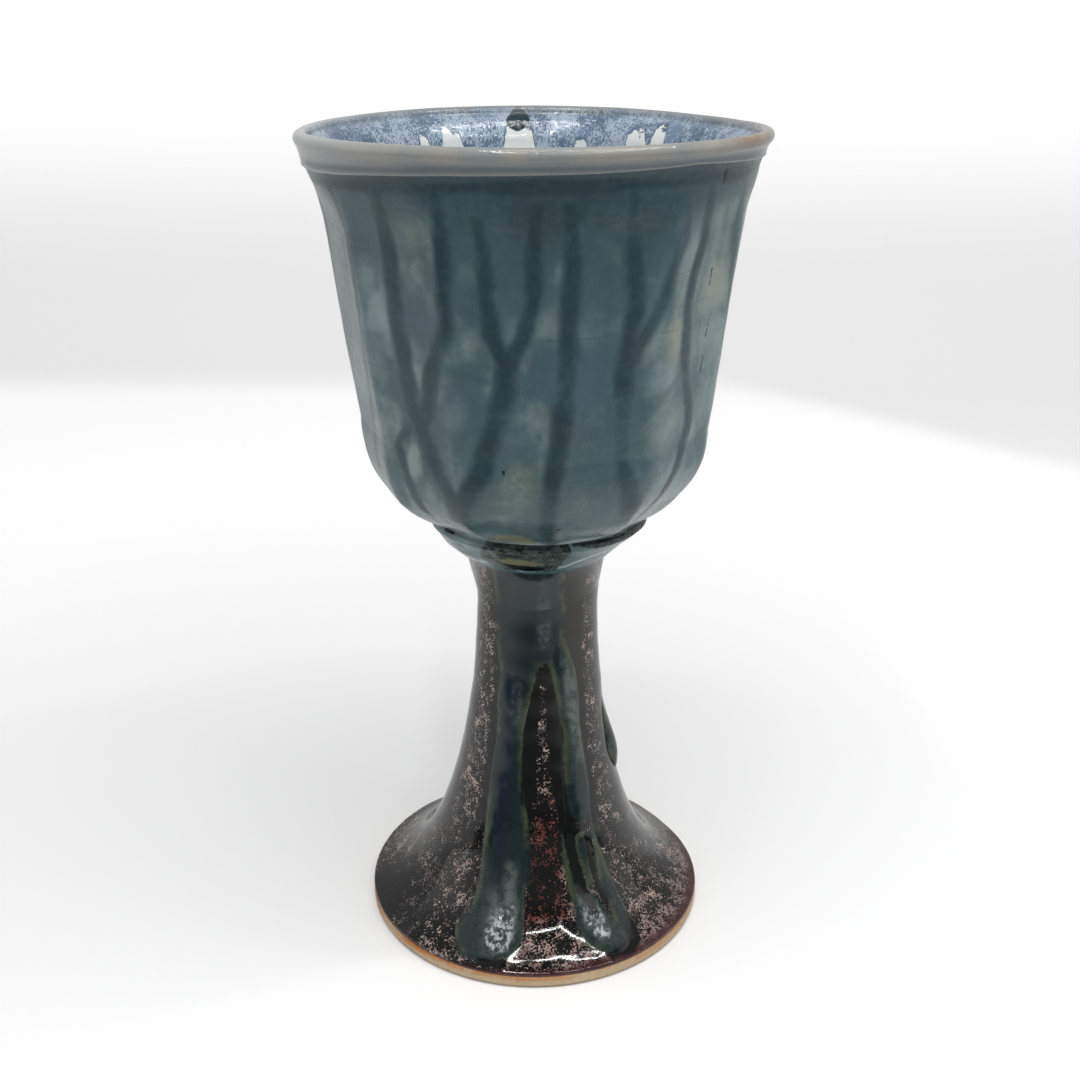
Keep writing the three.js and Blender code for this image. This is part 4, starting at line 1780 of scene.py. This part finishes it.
@dataclass(frozen=True)
class GlazeRun:
    """A raised run: its name, its edges going down the stem, its film and its drop."""

    node: str
    rows: tuple[tuple[float, float, float], ...]
    film: float
    drop: float
    drop_length: float
    top_fade: float = 9.0

    def build(self, glazes: Glazes, stem: Stem) -> None:
        """Lays the run on the stem."""
        heights, left, right = np.array(self.rows[::-1]).T
        tip = heights[0]
        rise = (heights[-1] - tip) * np.linspace(0.0, 1.0, RUN_ROWS) ** 1.5
        height = tip + rise
        middle = np.interp(height, heights, 0.5 * (left + right))
        half = np.interp(height, heights, 0.5 * (right - left))
        middle, half = soften(middle, 5), soften(half, 5)
        nose = np.clip(rise / (0.42 * self.drop_length), 0.0, 1.0)
        half = half * round_end(nose)
        head = np.clip((heights[-1] - height) / (0.6 * self.top_fade), 0.0, 1.0)
        half = half * round_end(head)
        swell = np.exp(-(((rise - 0.36 * self.drop_length) / (0.42 * self.drop_length)) ** 2))
        lift = self.film + (self.drop - self.film) * swell
        lift = lift * round_end(nose)
        lift = lift * smooth(heights[-1], heights[-1] - self.top_fade, height)
        rows = np.stack(
            [
                stem.radius(height) * MM,
                height * MM,
                np.radians(middle - half),
                np.radians(middle + half),
                lift * MM,
                stem.slope(height),
                np.full(RUN_ROWS, SEAM * MM),
            ],
            axis=1,
        )
        settings = {"Columns": RUN_COLUMNS, "Fullness": 0.58, "Material": glazes.run}
        piece = grown(self.node, rows, RUN_NAMES, glazes.running, settings)
        mesh = piece.data
        points, surface, shows = read(mesh)
        under = stem.hand_marks(surface)
        waves = 0.1 * NOISE.rough(points, (3.5, 3.5, 6.0))
        points += normals_of(mesh) * ((under + waves) * shows)[:, None]
        settle(piece, points, stem_masks(surface), self.node)


def round_end(share: np.ndarray) -> np.ndarray:
    """A quarter of a circle: 0 at the very end, 1 where the rounding is over."""
    return np.sqrt(1 - (1 - share) ** 2)


def soften(values: np.ndarray, reach: int) -> np.ndarray:
    """A running mean that keeps the ends."""
    padded = np.pad(values, reach, mode="edge")
    return np.convolve(padded, np.ones(2 * reach + 1) / (2 * reach + 1), mode="valid")


NOISE = LatticeNoise(7)
LEAN = (
    [0, 15, 30, 50, 57, 67, 76, 84, 88, 93, 97, 100, 103, 106, 110, 114, 125, 138, 150, 161, 170,
     175, 179],
    [-0.28, -0.28, -0.1, 0.0, 0.25, 0.22, 0.38, 0.5, 0.1, -0.35, 0.75, 0.6, -0.1, -0.45, 0.1, 0.4,
     0.45, 0.25, 0.3, 0.35, -0.3, -0.5, -0.15],
)

CREST_DRIFT = (
    [-180, -150, -120, -90, -60, -30, 0, 40, 80, 110, 130, 155, 180],
    [-0.45, -0.5, -0.8, -0.9, -0.5, -0.1, 0.0, 0.0, -0.4, -1.0, -1.0, -0.6, -0.45],
)

LIP_DRIFT = (
    [-180, -150, -120, -85, -60, -40, -20, 0, 20, 40, 60, 85, 120, 150, 180],
    [-0.6, 0.3, -1.2, -2.6, -2.2, -1.3, -0.4, 0.0, 0.2, 0.6, -0.2, -1.0, -1.8, -0.4, -0.6],
)

WALL_TRAILS = [
    Trail(
        ((-58, 171), (-57, 160), (-56, 150), (-58, 141), (-62, 130), (-67, 119), (-68, 112)),
        2.6, 0.55,
    ),
    Trail(
        ((-40, 172), (-41, 153), (-40, 136), (-39, 130), (-37, 125), (-32, 115), (-27, 110),
         (-24, 104)),
        3.6,
    ),
    Trail(
        ((-23, 170), (-23, 160), (-24, 147), (-27, 140), (-31, 134), (-34, 128), (-37, 124)),
        3.2, 0.95,
    ),
    Trail(((-13, 166), (-13, 153), (-12, 146), (-9, 141), (-8, 138)), 2.8, 0.95),
    Trail(((0, 168), (-1, 153), (-3, 147), (-7, 141), (-9, 136)), 3.0, 1.0),
    Trail(((-8, 142), (-9, 134), (-11, 128), (-14, 122), (-17, 117), (-21, 112), (-25, 106)), 3.8),
    Trail(
        ((9, 168), (9, 150), (9, 142), (8, 135), (7, 128), (5, 120), (4, 113), (5, 104)), 3.6, 0.95
    ),
    Trail(
        ((24, 170), (25, 157), (26, 150), (25, 134), (25, 126), (26, 120), (29, 114), (33, 107)),
        3.4, 0.8,
    ),
    Trail(((40, 166), (38, 159), (35, 154), (32, 149), (29, 144), (26, 139)), 2.6, 0.6),
    Trail(
        ((47, 170), (47, 160), (44, 151), (46, 142), (48, 135), (52, 129), (53, 124), (50, 114),
         (44, 106)),
        2.4, 0.95,
    ),
    Trail(((66, 171), (63, 162), (64, 154), (67, 146), (68, 138), (71, 130), (73, 114)), 2.2, 0.5),
    Trail(((-41, 124), (-47, 120), (-46, 115), (-44, 110), (-42, 105)), 2.2, 0.75),
    Trail(((-22, 138), (-17, 137), (-12, 136)), 3.0, 0.35, 2.0),
    Trail(((-22, 152), (-12, 150)), 4.0, 0.35, 2.0),
    Trail(((48, 138), (38, 132), (25, 124)), 2.0, 0.3, 2.0),
]

BACK_TRAILS = [
    Trail(((-82, 171), (-84, 150), (-88, 130), (-84, 112)), 3.0, 0.7),
    Trail(((-104, 171), (-101, 152), (-106, 136), (-103, 118), (-98, 106)), 3.6, 0.95),
    Trail(((-121, 171), (-123, 156), (-118, 142), (-108, 132)), 3.0, 0.85),
    Trail(((-140, 171), (-139, 150), (-143, 134), (-150, 120), (-152, 106)), 3.8, 1.0),
    Trail(((-166, 171), (-163, 156), (-158, 142), (-148, 130)), 3.2, 0.85),
    Trail(((179, 171), (177, 154), (178, 136), (174, 118), (172, 104)), 3.6, 0.95),
    Trail(((158, 171), (160, 157), (165, 146), (173, 136)), 2.8, 0.8),
    Trail(((141, 171), (139, 152), (142, 138), (137, 122), (131, 106)), 3.6, 0.95),
    Trail(((118, 171), (121, 155), (118, 142), (123, 128), (130, 116)), 3.2, 0.85),
    Trail(((97, 171), (95, 156), (99, 140), (97, 124), (102, 108)), 3.2, 0.9),
    Trail(((83, 171), (85, 158), (92, 147)), 2.6, 0.7),
]

PALE_CELLS = [Cell(*row) for row in (
    (-31, 164, 4.8, 5.5, 0.55, 0.6),
    (-32, 156, 2.9, 2.8, 0.6),
    (-19, 145, 2.5, 4.6, 0.65),
    (-18, 157, 2.3, 2.4, 0.5),
    (-7, 156, 1.9, 3.9, 0.3),
    (6, 156, 2.2, 2.3, 0.8),
    (4, 147, 3.4, 4.7, 0.6, 0.1),
    (-2, 130, 3.6, 3.3, 0.8, 0.1),
    (-6, 124, 2.6, 3.0, 0.6),
    (-23, 130, 4.2, 4.9, 0.65),
    (-27, 121, 3.6, 3.6, 0.35),
    (-54, 123, 4.2, 4.9, 0.55, 0.5),
    (-52, 137, 3.1, 4.4, 0.5),
    (-6, 115, 4.3, 4.8, 0.6, 0.6),
    (16, 149, 2.7, 5.2, 0.35),
    (18, 162, 2.0, 2.5, 0.5),
    (43, 157, 3.6, 6.4, 0.9),
    (40, 145, 2.6, 6.1, 0.85, 0.9),
    (33, 146, 2.8, 6.0, 0.6, 0.2),
    (37, 136, 4.6, 5.4, 0.6),
    (28, 121, 2.6, 5.0, 0.3),
    (-39, 141, 3.4, 5.6, 0.4),
    (38, 126, 6.0, 6.5, 0.6, 0.15),
    (58, 152, 5.0, 6.4, 0.6, 0.6),
    (60, 141, 6.0, 5.8, 0.5, 0.2),
    (17, 131, 2.7, 5.0, 0.4),
    (-41, 116.5, 1.7, 3.8, 1.0),
    (-36, 109, 1.7, 4.4, 0.6),
    (42, 114, 6.0, 5.3, 0.38),
    (16, 111, 3.2, 2.6, 0.42),
    (62, 128, 5.0, 6.0, 0.45),
    (-50, 151, 3.0, 6.0, 0.35),
    (-68, 150, 4.0, 8.0, 0.4),
    (-74, 132, 4.0, 7.0, 0.5),
    (76, 154, 4.0, 7.0, 0.5, 0.3),
    (80, 132, 5.0, 7.0, 0.5),
)]


def back_cells(seed: int) -> list[Cell]:
    """Pale cells for the side that the front doesn't show.

    Args:
        seed: The seed of the draws.

    Returns:
        The cells, spread from one side round the back to the other.
    """
    random = np.random.default_rng(seed)
    made = []
    for turn in np.arange(88.0, 273.0, 9.5):
        height = random.uniform(108.0, 118.0)
        while height < 164.0:
            wide, tall = random.uniform(1.8, 4.2), random.uniform(3.0, 6.5)
            buff = 0.6 if random.random() < 0.2 else 0.0
            place = turn + random.uniform(-3.0, 3.0)
            made.append(Cell(place, height, wide, tall, random.uniform(0.35, 0.8), buff))
            height += tall * random.uniform(1.7, 2.8)
    return made


LIP_DRIP = (
    ((178.4, 184.5, 185.4), (177.2, 183.2, 186.8), (175.8, 181.4, 188.4), (174.4, 181.2, 188.6),
     (173, 185, 186)),
)

WALL_OLIVE = (((102.9, -15, -6), (101.8, -18, -2), (99.9, -19, 0), (99.0, -16, -2)),)

WALL_INK = (
    ((171.5, -59.3, -58.2), (160, -57.2, -56.5), (150, -56.2, -55.5), (141, -57.6, -57.0)),
    ((173.0, 50.3, 51.8), (170.5, 50.6, 51.4)),
    ((155.0, 53.0, 53.8), (151.5, 53.3, 53.9)),
    ((146.0, 56.0, 56.7), (141.0, 55.4, 56.0)),
    ((137.5, 55.8, 56.5), (134.0, 55.4, 56.0)),
    ((119.0, -10.8, -9.8), (118.0, -10.6, -9.8)),
    ((105.8, 7.2, 9.8), (105.2, 7.4, 9.6)),
)

TONGUES = (
    (185.0, 6.5, 173.6),
    (165.0, 3.0, 171.5),
    (146.0, 5.0, 173.6),
    (138.0, 3.5, 174.6),
    (130.0, 3.0, 172.2),
    (-153.0, 4.5, 173.6),
    (-143.0, 3.0, 172.0),
    (-121.0, 5.0, 172.6),
    (110.0, 4.0, 172.4),
    (94.0, 5.0, 170.0),
    (-98.0, 6.0, 171.0),
    (-70.0, 5.0, 169.5),
    (60.0, 6.0, 170.5),
    (20.0, 7.0, 171.5),
    (-20.0, 5.0, 170.0),
)

RUN_PATCHES = (
    ((95, -36, 22), (89, -38, 24), (80, -42, 27), (75, -41, 26), (69, -40, 26), (66, -38, 3)),
    ((70, -38, 6), (62, -36, -2), (56, -36, -7), (49, -34, -11), (41, -36, -10), (30, -35, -4),
     (21, -32, -2), (15, -29, -5), (11, -30, -5), (8, -33, -4), (5.2, -31, -8), (4.4, -26, -14)),
    ((72, 2, 26), (69, 6, 31), (64, 14, 38), (57, 19, 40), (51, 22, 39), (43, 20, 41), (36, 21, 42),
     (31, 23, 37), (28.4, 27, 33)),
    ((26.5, 25, 33), (23, 23, 35), (19, 25, 32), (15, 27, 30)),
    ((27, 15, 17.5), (20, 16, 20), (14, 18, 28), (9, 18, 33), (5, 21, 36)),
    ((27, 38, 40), (20, 36, 41.5), (14, 34, 42.5), (8, 33, 43), (4.4, 35, 40)),
    ((54, 79, 87), (44, 76, 94), (36, 75, 96), (32.6, 77, 95)),
    ((88, 140, 158), (62, 141, 152), (45, 142, 153), (24, 142, 156), (17.5, 145, 153)),
    ((90, -150, -118), (66, -144, -130), (45, -146, -129), (22, -147, -132), (9, -149, -131),
     (6.2, -146, -136)),
)

FILM_AND_SHEEN_TRAILS = (
    (((7, 76), (7, 72)), 2.2),
    (((-17, 60), (-17, 54)), 2.0),
    (((31, 62), (33, 54), (34, 44)), 2.2),
    (((-17, 87), (-17, 82)), 3.2),
    # These three, on the drops, paint the drops' hazy reflection.
    (((-13, 20), (-12, 12)), 2.4),
    (((-14, 14), (-13, 7)), 6.0),
    (((24, 13), (27, 8)), 4.0),
    (((25, 68), (29, 60), (32, 48)), 1.6),
)

STEM_INK_AND_SHADE = (
    ((66, 2, 6), (60, -5, 1), (50, -11, 0), (42, -11, 1), (34, -10, 2)),
    ((62, 9, 13), (54, 10, 20), (46, 11, 20), (38, 12, 20), (31, 14, 22), (29, 15, 30)),
    ((28.5, 15, 40), (26, 17, 25), (20, 19, 25), (14, 22, 27), (10.5, 26, 28)),
    ((26, 32, 37), (19, 30.5, 34), (12, 31, 34)),
    # These last two, at the drops' lower edges, are black glaze and painted shade.
    ((9, 39.5, 42), (6, 36, 42), (4.6, 24, 41), (3.9, 26, 36)),
    ((4.9, -19, -9), (3.9, -17, -10)),
)

NAVY_TRAIL = Trail(((-24, 64), (-23, 50), (-23, 36), (-21, 22)), 2.2, 0.9, 6.0)

RUST_SPEAR = (((68, 2, 6), (60, 1, 9), (45, 0, 11), (30, -4, 15), (10, -4, 15)),)

FLAKE_BANDS = ((-55.0, 26.0), (57.0, 20.0), (110.0, 40.0), (-110.0, 44.0), (178.0, 44.0))

RUNS = (
    GlazeRun(
        "glaze_run_left",
        ((64, -38, -3), (56, -36, -7), (49, -34, -11), (41, -36, -10), (30, -34, -6), (21, -32, -4),
         (15, -30, -5), (10, -33, -4), (7, -35, -3), (4.2, -34, -5)),
        0.55, 2.3, 11.0,
    ),
    GlazeRun(
        "glaze_run_right",
        ((72, 14, 28), (64, 15, 38), (57, 19, 40), (50, 21, 39), (41, 20, 41), (33, 20, 41),
         (27, 20, 39), (20, 17, 41), (12, 17, 43), (4.2, 19, 42)),
        0.55, 2.4, 12.0,
    ),
    GlazeRun(
        "glaze_run_side", ((54, 79, 87), (45, 77, 93), (38, 76, 95), (33.2, 78, 94)),
        0.55, 1.6, 15.0,
    ),
    GlazeRun(
        "glaze_run_back_right",
        ((62, 142, 151), (45, 141, 153), (30, 141, 154), (17, 142, 156)),
        0.5, 1.6, 10.0,
    ),
    GlazeRun(
        "glaze_run_back_left",
        ((66, -144, -131), (45, -146, -129), (22, -148, -131), (9, -149, -131), (6, -148, -132)),
        0.5, 1.8, 10.0,
    ),
)


# The studio


@dataclass
class Studio:
    """A white sweep under soft light, with a frame of bright strips above the front."""

    lens: float = 44.93
    place: tuple[float, float, float] = (0.0009, -0.27533, 0.20343)
    tilt: float = 67.65
    sweep_start: float = 0.42
    sweep_radius: float = 0.26
    strip_height: float = 0.46
    strip_corners: tuple[tuple[float, float], ...] = (
        (-0.056, -0.293), (0.159, -0.331), (0.224, -0.01), (0.08, -0.078), (-0.073, -0.05),
    )
    strip_width: float = 0.007
    strip_radiance: float = 60.0
    paper_white: float = 0.86
    paper_dim: float = 0.17
    shadowed_floor_glow: float = 0.13
    wall_glow: float = 0.22
    glow_rise: float = 0.25
    room: float = 0.95
    room_front: float = 0.72
    room_top: float = 0.66
    room_light: float = 0.62
    backdrop: float = 0.4

    def build(self) -> None:
        """Sets the floor, the lights, the surroundings and the camera."""
        self.build_sweep()
        self.build_strips()
        self.build_surroundings()
        self.build_camera()
        bpy.context.scene.view_settings.view_transform = "Standard"

    def build_sweep(self) -> None:
        """The pale floor, which curves up into a backdrop behind the goblet."""
        outline = [(-4.0, 0.0), (self.sweep_start, 0.0)]
        for angle in np.radians(np.linspace(0.0, 90.0, 33))[1:]:
            y = self.sweep_start + self.sweep_radius * math.sin(angle)
            outline.append((y, self.sweep_radius * (1 - math.cos(angle))))
        outline.append((self.sweep_start + self.sweep_radius, 1.4))
        points = [(x, y, z - 0.00005) for x in (-4.0, 4.0) for y, z in outline]
        count = len(outline)
        faces = [(i, count + i, count + i + 1, i + 1) for i in range(count - 1)]
        mesh = bpy.data.meshes.new("sweep")
        mesh.from_pydata(points, [], faces)
        mesh.polygons.foreach_set("use_smooth", [True] * len(faces))
        sweep = bpy.data.objects.new("sweep", mesh)
        bpy.context.scene.collection.objects.link(sweep)
        mesh.materials.append(self.paper())

    def paper(self) -> Material:
        """Matt white paper, darker in the glaze where the room in front of it is dim, and glowing
        for the camera, least in a painted shadow pool round the goblet.
        """
        material = bpy.data.materials.new("white_paper")
        material.use_nodes = True
        w = Wiring(material.node_tree)
        nodes = material.node_tree.nodes
        nodes.remove(nodes["Principled BSDF"])
        place = w.add("ShaderNodeTexCoord").outputs["Object"]
        x, y, z = w.add("ShaderNodeSeparateXYZ", {0: place}).outputs
        path = w.add("ShaderNodeLightPath")
        dim = w.times(path.outputs["Is Glossy Ray"], w.step(y, -0.08, -0.22))
        white, grey = (
            w.add("ShaderNodeBsdfDiffuse", {"Color": (level, level, level, 1.0)}).outputs[0]
            for level in (self.paper_white, self.paper_dim)
        )
        matt = w.add("ShaderNodeMixShader", {0: dim, 1: white, 2: grey}).outputs[0]

        # The paper glows for the camera: least near the goblet, a painted shadow pool round it, and
        # less low on the backdrop.
        flat = w.add("ShaderNodeCombineXYZ", {"X": w.times(x, 0.6), "Y": y}).outputs[0]
        away = w.add("ShaderNodeVectorMath", {0: flat}, operation="LENGTH").outputs["Value"]
        floor = w.plus(self.shadowed_floor_glow, w.times(w.step(away, 0.03, 0.33), self.glow_rise))
        wall = w.plus(self.wall_glow, w.times(w.step(z, 0.03, 0.15), self.glow_rise))
        far = w.step(w.plus(y, w.times(w.step(x, 0.08, 0.3), 0.16)), 0.415, 0.47)
        glow = w.plus(floor, w.times(far, w.minus(wall, floor)))
        glow = w.times(glow, path.outputs["Is Camera Ray"])
        lit = w.add("ShaderNodeEmission", {"Strength": glow}).outputs[0]
        both = w.add("ShaderNodeAddShader", {0: matt, 1: lit}).outputs[0]
        w.feed(nodes["Material Output"].inputs["Surface"], both)
        return material

    def build_strips(self) -> None:
        """Bright strips in a frame, which the foot, the drops and the lip reflect as thin lines."""
        corners = [Vector((*corner, self.strip_height)) for corner in self.strip_corners]
        for number, (start, end) in enumerate(zip(corners, corners[1:] + corners[:1])):
            middle, along = 0.5 * (start + end), end - start
            size = (along.length, self.strip_width)
            lamp = self.area(f"strip_{number}", middle, size, self.strip_radiance)
            lamp.rotation_euler = (0.0, 0.0, math.atan2(along.y, along.x))

    @staticmethod
    def area(name: str, place: Vector, size: tuple[float, float], radiance: float) -> Object:
        """Adds a rectangular light that faces down.

        Args:
            name: Its name.
            place: Where its middle is, in metres.
            size: Its two sides.
            radiance: How bright its face is.

        Returns:
            The light.
        """
        light = bpy.data.lights.new(name, "AREA")
        light.shape = "RECTANGLE"
        light.size, light.size_y = size
        light.energy = radiance * math.pi * size[0] * size[1]
        lamp = bpy.data.objects.new(name, light)
        lamp.location = place
        bpy.context.scene.collection.objects.link(lamp)
        return lamp

    def build_surroundings(self) -> None:
        """White surroundings, dimmer in front and overhead for what the glaze reflects."""
        world = bpy.data.worlds.new("studio")
        bpy.context.scene.world = world
        world.use_nodes = True
        w = Wiring(world.node_tree)
        background = world.node_tree.nodes["Background"]
        direction = w.add("ShaderNodeTexCoord").outputs["Generated"]
        _, y, z = w.add("ShaderNodeSeparateXYZ", {0: direction}).outputs
        path = w.add("ShaderNodeLightPath")
        front = w.step(y, -0.05, -0.75)
        room = w.minus(self.room, w.times(front, self.room_front))
        room = w.times(room, w.minus(1.0, w.times(w.step(z, 0.4, 0.85), self.room_top)))
        change = w.times(path.outputs["Is Glossy Ray"], w.minus(room, self.room_light))
        level = w.plus(change, self.room_light)
        seen = w.times(path.outputs["Is Camera Ray"], self.backdrop)
        w.feed(background.inputs["Strength"], w.plus(level, seen))
        background.inputs["Color"].default_value = (1.0, 1.0, 1.0, 1.0)

    def build_camera(self) -> None:
        """The camera, where the photo was taken from."""
        data = bpy.data.cameras.new("camera")
        data.lens = self.lens
        data.sensor_width = 36.0
        data.clip_start = 0.01
        camera = bpy.data.objects.new("camera", data)
        camera.location = self.place
        camera.rotation_euler = (math.radians(self.tilt), 0.0, 0.0)
        bpy.context.scene.collection.objects.link(camera)
        bpy.context.scene.camera = camera


def main() -> None:
    """Builds the goblet and its studio."""
    logging.basicConfig(level=logging.INFO, format="%(name)s: %(message)s")
    glazes = Glazes()
    stem = Stem()
    stem.build(glazes)
    Collar().build(glazes)
    Cup().build(glazes)
    for run in RUNS:
        run.build(glazes, stem)
    Studio().build()


if __name__ == "__main__":
    main()
